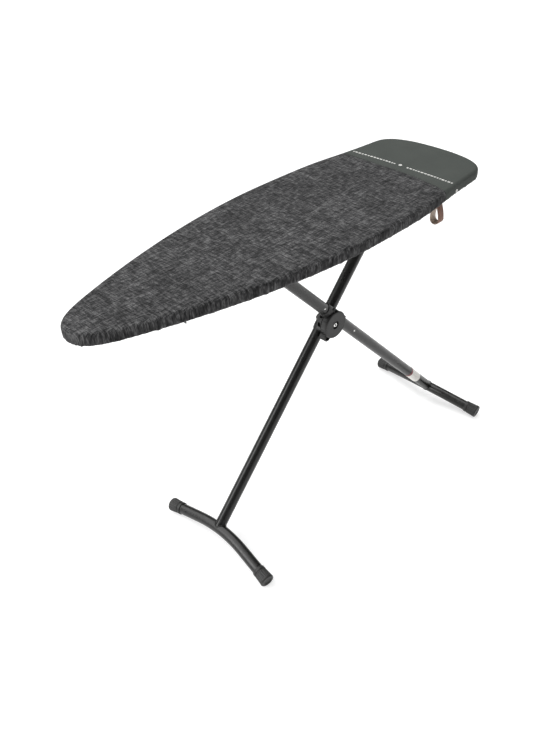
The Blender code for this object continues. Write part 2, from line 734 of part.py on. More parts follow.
def make_pivot():
    make_rear_bracket()
    make_front_bracket()
    back = HUB_OUTER_Y + GAP
    depth = 0.0045
    chamfer = 0.0022
    hole = 0.0125
    profile = [
        (hole, depth),
        (DISC_RADIUS - chamfer, depth),
        (DISC_RADIUS, depth - chamfer),
        (DISC_RADIUS, 0.0),
        (hole, 0.0),
    ]
    turned("pivot_cover", profile, facing_y(pivot_at(-back)), BLACK_PLASTIC, steps=48, closed=True)

    head, head_radius = 0.0042, 0.0078
    nut_height, nut_radius = 0.005, 0.0058
    past_nut = 0.0030
    nut_start = FRONT_BOSS_Y + GAP
    nut_end = nut_start + nut_height
    near, far = pivot_at(-back - head), pivot_at(nut_end + past_nut)
    bolt = cylinder("pivot_bolt", near, pivot_at(-back), head_radius, BRIGHT_STEEL, segments=6)
    join(bolt, cylinder("bolt_shaft", near + Vector((0, head / 2, 0)), far, BOLT_RADIUS, segments=16))
    bore = [pivot_at(0.0), pivot_at(2 * nut_end)]
    nut = cylinder("pivot_nut", pivot_at(nut_start), pivot_at(nut_end), nut_radius, BRIGHT_STEEL, segments=6)
    cut(nut, cylinder("nut_bore", *bore, BOLT_RADIUS + GAP, segments=16))
    face = HUB_INNER_Y - GAP
    spacer_radius = 0.0100
    spacer = cylinder("pivot_spacer", pivot_at(-face), pivot_at(face), spacer_radius, BRIGHT_STEEL, segments=20)
    bore = [pivot_at(-2 * face), pivot_at(2 * face)]
    cut(spacer, cylinder("spacer_bore", *bore, BOLT_RADIUS + GAP, segments=16))


# --- The carriage, the catch and the release ---------------------------------------------------------------
def make_carriage():
    half_length = 0.020
    half_height = RAIL_CHANNEL / 2 - GAP
    outer = RAIL_Y - RAIL_WALL - GAP
    inner = SHOE_INNER_Y
    for name, side in (("left", -1), ("right", 1)):
        ys = sorted((side * inner, side * outer))
        low = (REAR_AXLE.x - half_length, ys[0], REAR_AXLE.z - half_height)
        high = (REAR_AXLE.x + half_length, ys[1], REAR_AXLE.z + half_height)
        shoe = box(f"slide_shoe_{name}", low, high, GREY_PLASTIC)
        ends = [(REAR_AXLE.x, -0.1, REAR_AXLE.z), (REAR_AXLE.x, 0.1, REAR_AXLE.z)]
        cut(shoe, cylinder(f"shoe_bore_{name}", ends[0], ends[1], AXLE_RADIUS + GAP, segments=20))
    thickness = 0.003
    front = REAR_AXLE.x - half_length - GAP
    reach = RAIL_Y - RAIL_LIP - 5 * GAP
    low = (front - thickness, -reach, REAR_AXLE.z - 0.019)
    high = (front, reach, REAR_AXLE.z + 0.0015)
    box("carriage_plate", low, high, ZINC)


def make_catch():
    """A plate that swings on the axle beside the left shoe, and the pin that it lifts into the rack."""
    thickness = 0.0025
    y = -SHOE_INNER_Y + 0.0020
    pin_y = y - thickness / 2 - GAP
    boss = 0.0095
    eye = 0.0065
    aside = math.atan2(CATCH_REACH.z, CATCH_REACH.x)
    normal = aside + math.pi / 2
    big = [normal + math.pi * i / 10 for i in range(11)]
    small = [normal - math.pi + math.pi * i / 8 for i in range(9)]
    outline = [(boss * math.cos(a), boss * math.sin(a)) for a in big]
    outline += [(CATCH_REACH.x + eye * math.cos(a), CATCH_REACH.z + eye * math.sin(a)) for a in small]
    hole = circle(AXLE_RADIUS + GAP)
    place = facing_y((REAR_AXLE.x, y, REAR_AXLE.z))
    plate("catch_plate", outline, thickness, place, ZINC, [hole])
    pin = REAR_AXLE + CATCH_REACH
    cylinder("catch_pin", (pin.x, pin_y, pin.z), (pin.x, BLADE_EDGE_Y + 0.0010, pin.z), ROD_RADIUS, ZINC, segments=16)


def make_release():
    """The rod that turns along the rack, the blade that presses the catch pin down, spring and loop."""
    points = [
        (ROD_FRONT_X, ROD_Y, ROD_Z),
        (LEVER_X - 0.006, ROD_Y, ROD_Z),
        (LEVER_X, ROD_Y - 0.005, ROD_Z + 0.001),
        (LEVER_X + 0.002, -0.140, ROD_Z + 0.010),
        (LEVER_X + 0.002, LOOP_Y + 0.006, LOOP_Z - 0.002),
        (LEVER_X + 0.008, LOOP_Y, LOOP_Z),
        (LOOP_X + LOOP_WIDTH / 2 + 0.003, LOOP_Y, LOOP_Z),
    ]
    round_bar("release_rod", points, ROD_RADIUS, BLACK_PAINT, resolution=3)
    blade_bottom = ROD_Z - ROD_RADIUS
    front_end, rear_end = notch_places()[-1] - 0.016, notch_places()[0] + 0.014
    low = (front_end, BLADE_EDGE_Y, blade_bottom)
    high = (rear_end, ROD_Y - ROD_RADIUS - GAP, blade_bottom + 0.002)
    box("release_blade", low, high, ZINC)
    make_release_spring()
    make_loop()


def make_release_spring():
    """A torsion spring round the rod behind its rear guide."""
    wire = 0.0007
    radius = ROD_RADIUS + GAP + wire + 0.0003
    turns = 4
    steps = 12
    start = BOARD_CENTRE_X + 0.3680
    pitch = 0.0024
    points = []
    for i in range(turns * steps + 1):
        angle = 2 * math.pi * i / steps
        y = ROD_Y + radius * math.cos(angle)
        z = ROD_Z + radius * math.sin(angle)
        points.append((start + pitch * i / steps, y, z))
    round_bar("release_spring", points, wire, BRIGHT_STEEL, resolution=1)


def loop_outline(spread, top, bottom, count):
    """A hanging band's outline as (y, z) from its hanging point: a small arc over the rod, a wide one below."""
    upper = [math.radians(10 + 160 * i / count) for i in range(count + 1)]
    lower = [math.radians(185 + 170 * i / (2 * count)) for i in range(2 * count + 1)]
    made = [(top * math.cos(a), top * math.sin(a)) for a in upper]
    made += [(spread * math.cos(a), bottom + spread + spread * math.sin(a)) for a in lower]
    return made


def make_loop():
    thickness = 0.0022
    inner_top = ROD_RADIUS + 2 * GAP
    inner_wide = 0.0132
    drop = 0.0580
    outer = loop_outline(inner_wide + thickness, inner_top + thickness, -drop, 5)
    inner = loop_outline(inner_wide, inner_top, -drop + thickness, 5)
    plate("leather_loop", outer, LOOP_WIDTH, facing_x((LOOP_X, LOOP_Y, LOOP_Z)), LEATHER, [inner])


# --- Joint axes --------------------------------------------------------------------------------------------
def parent_to_axis(name, point, nodes, parent=None):
    """An empty on a joint's axis, which the nodes that it moves are parented to."""
    axis = bpy.data.objects.new(name, None)
    axis.empty_display_size = 0.03
    PARTS.objects.link(axis)
    axis.location = point
    bpy.context.view_layer.update()
    if parent:
        axis.parent = parent
        axis.matrix_parent_inverse = parent.matrix_world.inverted()
        bpy.context.view_layer.update()
    for node in nodes:
        obj = bpy.data.objects[node]
        obj.parent = axis
        obj.matrix_parent_inverse = axis.matrix_world.inverted()
    return axis


def set_joint_axes():
    front = [o.name for o in PARTS.objects if o.name.startswith(("front_leg", "front_foot", "hinge_cap"))]
    front += ["hinge_tube", "pivot_bracket_front", "pivot_nut"]
    rear = [o.name for o in PARTS.objects if o.name.startswith(("rear_leg", "rear_foot"))]
    rear += ["pivot_bracket_rear", "pivot_cover", "pivot_bolt", "pivot_spacer", "leg_label"]
    front_axis = parent_to_axis("front_leg_axis", FRONT_HINGE, front)
    rear_axis = parent_to_axis("rear_leg_axis", PIVOT, rear, front_axis)
    carriage = ["slide_shoe_left", "slide_shoe_right", "carriage_plate"]
    carriage_axis = parent_to_axis("carriage_axis", REAR_AXLE, carriage, rear_axis)
    parent_to_axis("catch_axis", REAR_AXLE, ["catch_plate", "catch_pin"], carriage_axis)
    release = ["release_rod", "release_blade", "leather_loop"]
    parent_to_axis("release_axis", (BOARD_CENTRE_X, ROD_Y, ROD_Z), release)


make_cover()
make_pad_and_panel()
make_rim()
make_braces()
make_rails()
make_rack()
make_hinge_mount()
make_rod_guides()
hinge_cope = make_front_hinge_tube()
axle_cope = make_rear_axle()
make_leg_tube("front", UP_FRONT, LEG_SIDE_Y, hinge_cope)
make_leg_tube("rear", UP_REAR, -LEG_SIDE_Y, axle_cope)
make_foot("front", UP_FRONT)
make_foot("rear", UP_REAR)
make_label()
make_rivets()
make_pivot()
make_carriage()
make_catch()
make_release()
set_joint_axes()
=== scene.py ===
"""The looks of a folding ironing board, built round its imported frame. Metres, +Z up.

+X runs from the nose to the heat zone, +Y is the side away from the leather loop, and the floor is at z = 0.
"""

import json
import math
import random

import bmesh
import bpy
import numpy as np
from mathutils import Matrix, Vector, noise


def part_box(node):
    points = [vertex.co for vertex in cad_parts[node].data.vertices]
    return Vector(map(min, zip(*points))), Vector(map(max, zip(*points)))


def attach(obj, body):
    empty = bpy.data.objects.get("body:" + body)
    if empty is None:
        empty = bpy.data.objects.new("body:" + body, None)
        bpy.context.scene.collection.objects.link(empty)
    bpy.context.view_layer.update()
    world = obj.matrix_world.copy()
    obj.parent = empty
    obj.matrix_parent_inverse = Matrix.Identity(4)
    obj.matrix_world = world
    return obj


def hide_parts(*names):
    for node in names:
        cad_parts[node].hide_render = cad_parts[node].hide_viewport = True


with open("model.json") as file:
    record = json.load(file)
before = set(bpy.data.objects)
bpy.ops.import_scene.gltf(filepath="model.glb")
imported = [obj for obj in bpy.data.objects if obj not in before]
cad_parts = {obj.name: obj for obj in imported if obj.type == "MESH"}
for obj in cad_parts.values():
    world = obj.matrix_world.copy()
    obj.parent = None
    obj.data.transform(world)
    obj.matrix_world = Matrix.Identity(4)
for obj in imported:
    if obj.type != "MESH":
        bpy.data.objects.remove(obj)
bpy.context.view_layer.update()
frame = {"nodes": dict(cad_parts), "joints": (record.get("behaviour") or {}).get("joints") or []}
SEED = 11


# --- Sizes and places, read from the frame -----------------------------------------------------------------
def joint_place(name):
    return Vector(next(j for j in frame["joints"] if j["name"] == name)["pos_m"])


def middle_of(node):
    low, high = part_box(node)
    return (low + high) / 2


FRONT_HINGE = joint_place("fold")
PIVOT = joint_place("scissor_pivot")
REAR_AXLE = joint_place("carriage_pivot")
UP_FRONT = (FRONT_HINGE - PIVOT).normalized()
UP_REAR = (REAR_AXLE - PIVOT).normalized()

NOSE_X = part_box("cover_main")[0].x
REAR_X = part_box("cover_heat_zone")[1].x
SEAM_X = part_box("cover_main")[1].x
TOP_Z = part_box("cover_main")[1].z
BOARD_LENGTH = REAR_X - NOSE_X
BOARD_HALF_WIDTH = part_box("cover_main")[1].y
BOARD_CENTRE_X = (NOSE_X + REAR_X) / 2

RIM_LOW, RIM_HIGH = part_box("board_rim")
RIM_RADIUS = (RIM_HIGH.z - RIM_LOW.z) / 2
RIM_Z = (RIM_HIGH.z + RIM_LOW.z) / 2
RIM_INSET = REAR_X - RIM_HIGH.x + RIM_RADIUS
PANEL_LOW, PANEL_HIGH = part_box("board_panel")
PAD_LOW, PAD_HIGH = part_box("felt_pad")
HEM_DEPTH = 0.028  # how far the cover reaches in under the rim

TUBE_RADIUS = (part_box("front_leg_tube")[1].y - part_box("front_leg_tube")[0].y) / 2
LEG_SIDE_Y = middle_of("front_leg_tube").y
PIVOT_SET_BACK = 0.029  # the bolt passes this far in front of the point where the tubes cross
CROSSING = PIVOT + Vector((PIVOT_SET_BACK, 0.0, 0.0))

ROD_RADIUS = 0.004
ROD_AXIS = joint_place("release_lever")


# --- Materials ---------------------------------------------------------------------------------------------
class Look:
    """One material being built: a Principled shader and the nodes that feed it."""

    def __init__(self, name, roughness=0.5, metallic=0.0, uniform=None):
        self.material = bpy.data.materials.new(name)
        self.material.use_nodes = True
        self.tree = self.material.node_tree
        self.shader = self.tree.nodes["Principled BSDF"]
        self.shader.inputs["Roughness"].default_value = roughness
        self.shader.inputs["Metallic"].default_value = metallic
        for socket, value in (uniform or {}).items():
            self.shader.inputs[socket].default_value = value
        self.place = self.tree.nodes.new("ShaderNodeTexCoord").outputs["Object"]

    def feed(self, node, socket, value):
        if isinstance(value, bpy.types.NodeSocket):
            self.tree.links.new(value, node.inputs[socket])
        else:
            node.inputs[socket].default_value = value

    def node(self, kind, inputs, **settings):
        made = self.tree.nodes.new(kind)
        for setting, value in settings.items():
            setattr(made, setting, value)
        for socket, value in inputs.items():
            self.feed(made, socket, value)
        return made

    def grain(self, scale, detail=2.0, sharpness=0.5, distortion=0.0):
        """Noise from 0 to 1, with scale features per metre along X, Y and Z."""
        place = self.node("ShaderNodeMapping", {"Vector": self.place, "Scale": scale})
        inputs = {"Vector": place.outputs[0], "Scale": 1.0, "Detail": detail}
        inputs.update({"Roughness": sharpness, "Distortion": distortion})
        return self.node("ShaderNodeTexNoise", inputs).outputs[0]

    def cells(self, scale, feature="F1"):
        place = self.node("ShaderNodeMapping", {"Vector": self.place, "Scale": scale})
        inputs = {"Vector": place.outputs[0], "Scale": 1.0}
        return self.node("ShaderNodeTexVoronoi", inputs, feature=feature).outputs["Distance"]

    def math(self, operation, a, b=0.0, clamp=False):
        return self.node("ShaderNodeMath", {0: a, 1: b}, operation=operation, use_clamp=clamp).outputs[0]

    def levels(self, value, low, high, to_low=0.0, to_high=1.0):
        """The value stretched from low..high to to_low..to_high."""
        inputs = {"Value": value, 1: low, 2: high, 3: to_low, 4: to_high}
        return self.node("ShaderNodeMapRange", inputs).outputs[0]

    def ramp(self, value, stops):
        node = self.node("ShaderNodeValToRGB", {"Fac": value})
        while len(node.color_ramp.elements) < len(stops):
            node.color_ramp.elements.new(0.5)
        for element, (place, colour) in zip(node.color_ramp.elements, stops):
            element.position = place
            element.color = (*colour, 1.0)
        return node.outputs[0]

    def blend(self, factor, a, b, kind="MIX"):
        node = self.node("ShaderNodeMix", {0: factor}, data_type="RGBA", blend_type=kind)
        for socket, value in ((6, a), (7, b)):
            self.feed(node, socket, (*value, 1.0) if isinstance(value, tuple) else value)
        return node.outputs[2]

    def colour(self, value):
        self.feed(self.shader, "Base Color", value)

    def roughness(self, value):
        self.feed(self.shader, "Roughness", value)

    def bump(self, height, distance, strength=1.0, under=None):
        """Height steps of this many metres. A second bump goes under the first."""
        inputs = {"Height": height, "Distance": distance, "Strength": strength}
        if under:
            inputs["Normal"] = under
        made = self.node("ShaderNodeBump", inputs).outputs[0]
        self.feed(self.shader, "Normal", made)
        return made


def grey(level):
    return (level, level, level)


def denim_look():
    """Charcoal yarn-dyed cloth: threads both ways, paler slubs among them and soft darker patches of painted
    shade, where the cloth's shallow undulations would shade it.
    """
    look = Look("charcoal_denim", 0.92, uniform={"Sheen Weight": 0.04, "Sheen Roughness": 0.5})
    look.feed(look.shader, "Specular IOR Level", 0.12)
    warp = look.grain((60, 520, 40), 2.0, 0.6)
    weft = look.grain((520, 60, 40), 2.0, 0.6)
    slub_along = look.grain((45, 210, 30), 2.0, 0.65)
    slub_across = look.grain((210, 45, 30), 2.0, 0.65)
    fleck = look.grain((330, 330, 60), 2.0, 0.75)
    threads = look.math("ADD", look.math("MULTIPLY", warp, 0.5), look.math("MULTIPLY", weft, 0.5))
    slubs = look.math("ADD", slub_along, slub_across)
    mixed = look.math("ADD", look.math("MULTIPLY", threads, 0.26), look.math("MULTIPLY", slubs, 0.27))
    mixed = look.math("ADD", mixed, look.math("MULTIPLY", fleck, 0.20))
    stops = [(0.415, (0.012, 0.012, 0.0125)), (0.50, (0.044, 0.044, 0.045)), (0.60, (0.145, 0.144, 0.145))]
    yarn = look.ramp(mixed, stops)
    # The soft darker patches are painted shade for the cloth's shallow undulations, multiplied into the yarn
    # colour.
    undulation_shade_noise = look.math("MULTIPLY", look.grain((11, 6, 6), 2.0), look.grain((6, 13, 6), 2.0))
    painted_undulation_shade = look.levels(undulation_shade_noise, 0.15, 0.35, 0.82, 1.16)
    look.colour(look.blend(1.0, yarn, painted_undulation_shade, "MULTIPLY"))
    twill = look.math("MULTIPLY", look.grain((240, 1300, 300), 1.0), look.grain((1300, 240, 300), 1.0))
    look.bump(look.math("ADD", twill, look.math("MULTIPLY", mixed, 0.6)), 0.0006, 0.9)
    return look.material


def heat_cloth_look():
    """A plain, close woven dark grey-green cloth with a faint metallic dullness."""
    look = Look("heat_zone_cloth", 0.8, uniform={"Sheen Weight": 0.04, "Sheen Roughness": 0.4})
    look.feed(look.shader, "Specular IOR Level", 0.2)
    weave = look.math("MULTIPLY", look.grain((200, 1500, 400), 1.0), look.grain((1500, 200, 400), 1.0))
    clouds = look.grain((14, 14, 14), 3.0)
    shade = look.math("ADD", look.math("MULTIPLY", weave, 0.9), look.math("MULTIPLY", clouds, 0.35))
    look.colour(look.ramp(shade, [(0.30, (0.052, 0.058, 0.053)), (0.60, (0.070, 0.077, 0.070))]))
    look.bump(weave, 0.0003, 0.6)
    return look.material


def felt_look():
    look = Look("grey_felt", 0.95, uniform={"Sheen Weight": 0.4})
    fibres = look.grain((900, 900, 900), 4.0, 0.7, 1.5)
    clumps = look.grain((60, 60, 60), 3.0)
    shade = look.math("ADD", look.math("MULTIPLY", fibres, 0.6), look.math("MULTIPLY", clumps, 0.4))
    look.colour(look.ramp(shade, [(0.35, (0.20, 0.20, 0.195)), (0.65, (0.48, 0.475, 0.46))]))
    look.bump(fibres, 0.0006, 0.8)
    return look.material


def black_paint_look():
    """Satin black powder coat: fine orange peel, a little dust and faint rubbing marks."""
    look = Look("black_powder_coat", 0.3)
    look.feed(look.shader, "Specular IOR Level", 0.46)
    peel = look.grain((700, 700, 700), 2.0)
    wear = look.grain((35, 90, 35), 4.0, 0.65, 0.6)
    marks = look.levels(wear, 0.56, 0.72)
    paler = look.math("MULTIPLY", marks, 0.4)
    look.colour(look.blend(paler, (0.0060, 0.0060, 0.0055), (0.022, 0.022, 0.020)))
    look.roughness(look.levels(wear, 0.35, 0.75, 0.26, 0.40))
    look.bump(peel, 0.00008, 0.3)
    return look.material


def black_plastic_look():
    """Moulded black plastic with a fine spark-eroded grain."""
    look = Look("moulded_black_plastic", 0.42)
    look.feed(look.shader, "Specular IOR Level", 0.42)
    grain = look.grain((1500, 1500, 1500), 2.0, 0.6)
    cloud = look.grain((25, 25, 25), 3.0)
    look.colour(look.ramp(cloud, [(0.3, (0.012, 0.012, 0.0118)), (0.7, (0.021, 0.021, 0.0205))]))
    look.roughness(look.levels(grain, 0.3, 0.7, 0.38, 0.54))
    look.bump(grain, 0.0001, 0.5)
    return look.material


def grey_plastic_look():
    look = Look("grey_acetal", 0.4)
    grain = look.grain((800, 800, 800), 2.0)
    swirl = look.grain((60, 20, 60), 3.0, 0.5, 1.0)
    look.colour(look.ramp(swirl, [(0.3, grey(0.13)), (0.7, grey(0.19))]))
    look.roughness(look.levels(swirl, 0.3, 0.7, 0.34, 0.5))
    look.bump(grain, 0.0001, 0.4)
    return look.material


def zinc_look():
    """Bright zinc plating: rolled lines along the steel and a mottled dullness."""
    look = Look("zinc_plated_steel", 0.35, 1.0)
    rolled = look.grain((14, 900, 900), 2.0)
    spangle = look.cells((90, 90, 90))
    tone = look.math("ADD", look.math("MULTIPLY", rolled, 0.6), look.math("MULTIPLY", spangle, 0.4))
    look.colour(look.ramp(tone, [(0.2, (0.42, 0.43, 0.45)), (0.8, (0.70, 0.71, 0.72))]))
    look.roughness(look.levels(spangle, 0.0, 0.9, 0.28, 0.5))
    look.bump(rolled, 0.00008, 0.5)
    return look.material


def bright_steel_look():
    look = Look("bright_nickel", 0.18, 1.0)
    brushed = look.grain((300, 300, 60), 3.0)
    look.colour(look.ramp(brushed, [(0.3, (0.66, 0.66, 0.65)), (0.7, (0.86, 0.86, 0.84))]))
    look.roughness(look.levels(brushed, 0.3, 0.7, 0.12, 0.3))
    look.bump(brushed, 0.00005, 0.4)
    return look.material


def leather_look(name, dark, pale):
    """Leather with a pebbled grain of creases and a rubbed tone."""
    look = Look(name, 0.55)
    pebbles = look.cells((700, 700, 700))
    rub = look.grain((120, 120, 120), 4.0, 0.6)
    tone = look.math("ADD", look.math("MULTIPLY", pebbles, 0.25), look.math("MULTIPLY", rub, 0.75))
    look.colour(look.ramp(tone, [(0.3, dark), (0.65, pale)]))
    look.roughness(look.levels(rub, 0.3, 0.7, 0.45, 0.7))
    look.bump(pebbles, 0.0003, 0.6)
    return look.material


def label_look(name, pale, dark):
    """Satin printed film with the faintest mottle."""
    look = Look(name, 0.35)
    mottle = look.grain((160, 160, 160), 3.0)
    look.colour(look.ramp(mottle, [(0.3, dark), (0.7, pale)]))
    look.roughness(look.levels(mottle, 0.3, 0.7, 0.3, 0.42))
    look.bump(mottle, 0.00005, 0.3)
    return look.material


def thread_look(name, dark, pale):
    look = Look(name, 0.8, uniform={"Sheen Weight": 0.3})
    twist = look.grain((1800, 1800, 1800), 1.0)
    look.colour(look.ramp(twist, [(0.35, dark), (0.65, pale)]))
    look.bump(twist, 0.0002, 0.8)
    return look.material


DENIM = denim_look()
HEAT_CLOTH = heat_cloth_look()
FELT = felt_look()
BLACK_PAINT = black_paint_look()
BLACK_PLASTIC = black_plastic_look()
GREY_PLASTIC = grey_plastic_look()
ZINC = zinc_look()
BRIGHT_STEEL = bright_steel_look()
LEATHER = leather_look("brown_leather", (0.115, 0.050, 0.032), (0.255, 0.125, 0.085))
SUEDE = leather_look("beige_leather_back", (0.40, 0.32, 0.26), (0.62, 0.52, 0.44))
LABEL_FILM = label_look("label_film", (0.80, 0.78, 0.74), (0.68, 0.66, 0.62))
LABEL_RED = label_look("label_red_print", (0.22, 0.022, 0.028), (0.15, 0.014, 0.020))
WHITE_PRINT = label_look("white_print", (0.74, 0.74, 0.71), (0.55, 0.55, 0.53))
DARK_THREAD = thread_look("dark_thread", grey(0.018), grey(0.05))
PALE_THREAD = thread_look("pale_thread", (0.30, 0.24, 0.19), (0.52, 0.44, 0.36))


# --- Making shapes -----------------------------------------------------------------------------------------
def smooth(obj, angle=35):
    obj.data.shade_smooth()
    obj.data.set_sharp_from_angle(angle=math.radians(angle))
    return obj


def link_object(name, data):
    """A new object in the scene's own collection."""
    obj = bpy.data.objects.new(name, data)
    bpy.context.scene.collection.objects.link(obj)
    return obj


def mesh_object(name, points, faces, material):
    mesh = bpy.data.meshes.new(name)
    mesh.from_pydata([tuple(map(float, p)) for p in points], [], faces)
    mesh.validate()
    mesh.materials.append(material)
    return link_object(name, mesh)


def face_outwards(obj):
    bm = bmesh.new()
    bm.from_mesh(obj.data)
    bmesh.ops.recalc_face_normals(bm, faces=bm.faces)
    bm.to_mesh(obj.data)
    bm.free()
    return obj


def join_all(name, parts):
    """One object of separate bodies, such as a row of stitches."""
    bm = bmesh.new()
    for part in parts:
        part.data.transform(part.matrix_world)
        bm.from_mesh(part.data)
    mesh = bpy.data.meshes.new(name)
    bm.to_mesh(mesh)
    bm.free()
    mesh.materials.append(parts[0].data.materials[0])
    obj = link_object(name, mesh)
    for part in parts:
        bpy.data.objects.remove(part)
    return smooth(obj)


def ring_faces(rings, sides, closed):
    """Quads between rings of the same number of points."""
    faces = []
    for k in range(rings if closed else rings - 1):
        a, b = k * sides, (k + 1) % rings * sides
        for i in range(sides):
            j = (i + 1) % sides
            faces.append((a + i, a + j, b + j, b + i))
    return faces


def sweep(name, path, radius, material, sides=16, up=(0, 0, 1), closed=False):
    """A round bar along the path. The radius is one number, or one for each point of the path."""
    count = len(path)
    path = [Vector(p) for p in path]
    radii = radius if isinstance(radius, list) else [radius] * count
    points = []
    for k, point in enumerate(path):
        after = path[(k + 1) % count] if closed else path[min(k + 1, count - 1)]
        before = path[k - 1] if closed or k else path[0]
        along = (after - before).normalized()
        aside = along.cross(Vector(up)).normalized()
        upright = aside.cross(along)
        for i in range(sides):
            turn = 2 * math.pi * i / sides
            points.append(point + (aside * math.cos(turn) + upright * math.sin(turn)) * radii[k])
    faces = ring_faces(count, sides, closed)
    if not closed:
        faces += [tuple(range(sides)), tuple(range((count - 1) * sides, count * sides))]
    return smooth(face_outwards(mesh_object(name, points, faces, material)), 50)


def turned(name, profile, place, material, steps=64, shape=None, sharp=35):
    """A turned shape from (radius, height) points. shape(radius, height, angle) moves a radius."""
    points, faces, last = [], [], None
    for radius, height in profile:
        start = len(points)
        if radius == 0.0:
            points.append((0.0, 0.0, height))
            ring = [start] * steps
        else:
            for i in range(steps):
                angle = 2 * math.pi * i / steps
                r = shape(radius, height, angle) if shape else radius
                points.append((r * math.cos(angle), r * math.sin(angle), height))
            ring = [start + i for i in range(steps)]
        if last:
            for i in range(steps):
                j = (i + 1) % steps
                corners = dict.fromkeys((last[i], last[j], ring[j], ring[i]))
                faces.append(tuple(corners))
        last = ring
    obj = mesh_object(name, points, faces, material)
    obj.data.transform(place)
    return smooth(face_outwards(obj), sharp)


def turned_ring(name, profile, place, material, steps=64, shape=None, sharp=35):
    """A turned shape with a hole through it: the profile's last point joins its first."""
    points = []
    for i in range(steps):
        angle = 2 * math.pi * i / steps
        for radius, height in profile:
            r = shape(radius, height, angle) if shape else radius
            points.append((r * math.cos(angle), r * math.sin(angle), height))
    faces = ring_faces(steps, len(profile), True)
    obj = mesh_object(name, points, faces, material)
    obj.data.transform(place)
    return smooth(face_outwards(obj), sharp)


def slab(name, outline, thickness, place, material, bevel=0.0):
    """A flat piece from an outline of (u, v) points, with rounded edges where a bevel is given."""
    count = len(outline)
    low = [(u, v, -thickness / 2) for u, v in outline]
    high = [(u, v, thickness / 2) for u, v in outline]
    faces = [tuple(range(count)), tuple(range(count, 2 * count))]
    faces += [(i, (i + 1) % count, count + (i + 1) % count, count + i) for i in range(count)]
    obj = mesh_object(name, low + high, faces, material)
    obj.data.transform(place)
    face_outwards(obj)
    if bevel:
        round_edges(obj, bevel)
    return smooth(obj)


def round_edges(obj, width, segments=3, angle=30):
    bevel = obj.modifiers.new("rounded", "BEVEL")
    bevel.width = width
    bevel.segments = segments
    bevel.limit_method = "ANGLE"
    bevel.angle_limit = math.radians(angle)
    return obj


def axis_place(point, along):
    """Local Z runs along the given direction from the point."""
    turn = Vector(along).to_track_quat("Z", "X").to_matrix().to_4x4()
    return Matrix.Translation(point) @ turn


def settle(obj, body, slot, *replaced):
    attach(obj, body)
    if replaced:
        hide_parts(*replaced)
    return obj


# --- The board's outline -----------------------------------------------------------------------------------
def bezier(start, handle, far_handle, end, count=60):
    made = []
    for i in range(count):
        t = i / count
        s = 1 - t
        weights = (s**3, 3 * s * s * t, 3 * s * t * t, t**3)
        controls = zip(weights, (start, handle, far_handle, end))
        made.append(sum((w * np.array(c) for w, c in controls), np.zeros(2)))
    return made


def half_outline():
    """The +Y edge from the nose tip to the rear end's middle, on the board's own centre."""
    half_length = BOARD_LENGTH / 2
    shoulder_turn, rear_turn = math.radians(21), math.radians(-5)
    tip = np.array((-half_length, 0.0))
    shoulder = np.array((-half_length + 0.099, 0.0917))
    shoulder_slope = np.array((math.cos(shoulder_turn), math.sin(shoulder_turn)))
    widest = np.array((0.116, BOARD_HALF_WIDTH))
    rear_side = np.array((half_length - 0.097, 0.1920))
    rear_slope = np.array((math.cos(rear_turn), math.sin(rear_turn)))
    rear = np.array((half_length, 0.0))
    made = bezier(tip, tip + (0, 0.0495), shoulder - shoulder_slope * 0.0524, shoulder)
    made += bezier(shoulder, shoulder + shoulder_slope * 0.056, widest - (0.3206, 0), widest)
    made += bezier(widest, widest + (0.2967, 0), rear_side - rear_slope * 0.2266, rear_side)
    made += bezier(rear_side, rear_side + rear_slope * 0.0375, rear + (0, 0.1860), rear)
    return np.array(made + [rear])


def even_outline(count):
    """count points spaced evenly round the board, counter-clockwise from the rear end's middle."""
    half = half_outline()[::-1]
    loop = np.vstack([half, half[-2::-1] * (1, -1)])
    steps = np.linalg.norm(np.diff(loop, axis=0), axis=1)
    travelled = np.concatenate([[0.0], np.cumsum(steps)])
    wanted = np.linspace(0.0, travelled[-1], count, endpoint=False)
    xs = np.interp(wanted, travelled, loop[:, 0]) + BOARD_CENTRE_X
    ys = np.interp(wanted, travelled, loop[:, 1])
    points = np.column_stack([xs, ys])
    along = np.roll(points, -1, axis=0) - np.roll(points, 1, axis=0)
    along /= np.linalg.norm(along, axis=1)[:, None]
    inwards = np.column_stack([-along[:, 1], along[:, 0]])
    return points, inwards, wanted


HALF = half_outline()


def half_width(x):
    """The board's half width at this x."""
    return float(np.interp(x - BOARD_CENTRE_X, HALF[:, 0], HALF[:, 1]))


SPINE_FRONT, SPINE_REAR = NOSE_X + 0.11, REAR_X - 0.19


def board_skin(name, rings, count, rows, material, close_below=False, move=None):
    """A skin over the board: rows of quads over the flat top, then the rings of (inset, height) outwards.

    move(points, travelled, ring) may move a ring's points; ring is its number, or -1 on the flat top.
    """
    base, inwards, travelled = even_outline(count)
    spine = np.column_stack([np.clip(base[:, 0], SPINE_FRONT, SPINE_REAR), np.zeros(count)])

    def flat_rows(inset, height, shares):
        edge = base + inwards * inset
        return [np.column_stack([spine + (edge - spine) * t, np.full(count, height)]) for t in shares]

    shares = [k / rows for k in range(rows)]
    layers = [(layer, -1) for layer in flat_rows(*rings[0], shares)]
    for number, (inset, height) in enumerate(rings):
        layers.append((np.column_stack([base + inwards * inset, np.full(count, height)]), number))
    if close_below:
        layers += [(layer, len(rings)) for layer in flat_rows(*rings[-1], shares[::-1])]
    if move:
        layers = [(move(layer, travelled, ring), ring) for layer, ring in layers]
    points = np.vstack([layer for layer, _ in layers])
    obj = mesh_object(name, points, ring_faces(len(layers), count, False), material)
    bm = bmesh.new()
    bm.from_mesh(obj.data)
    bmesh.ops.remove_doubles(bm, verts=bm.verts, dist=1e-6)
    bmesh.ops.recalc_face_normals(bm, faces=bm.faces)
    if max(bm.verts, key=lambda v: v.co.z).normal.z < 0:
        bmesh.ops.reverse_faces(bm, faces=bm.faces)
    bm.to_mesh(obj.data)
    bm.free()
    return obj


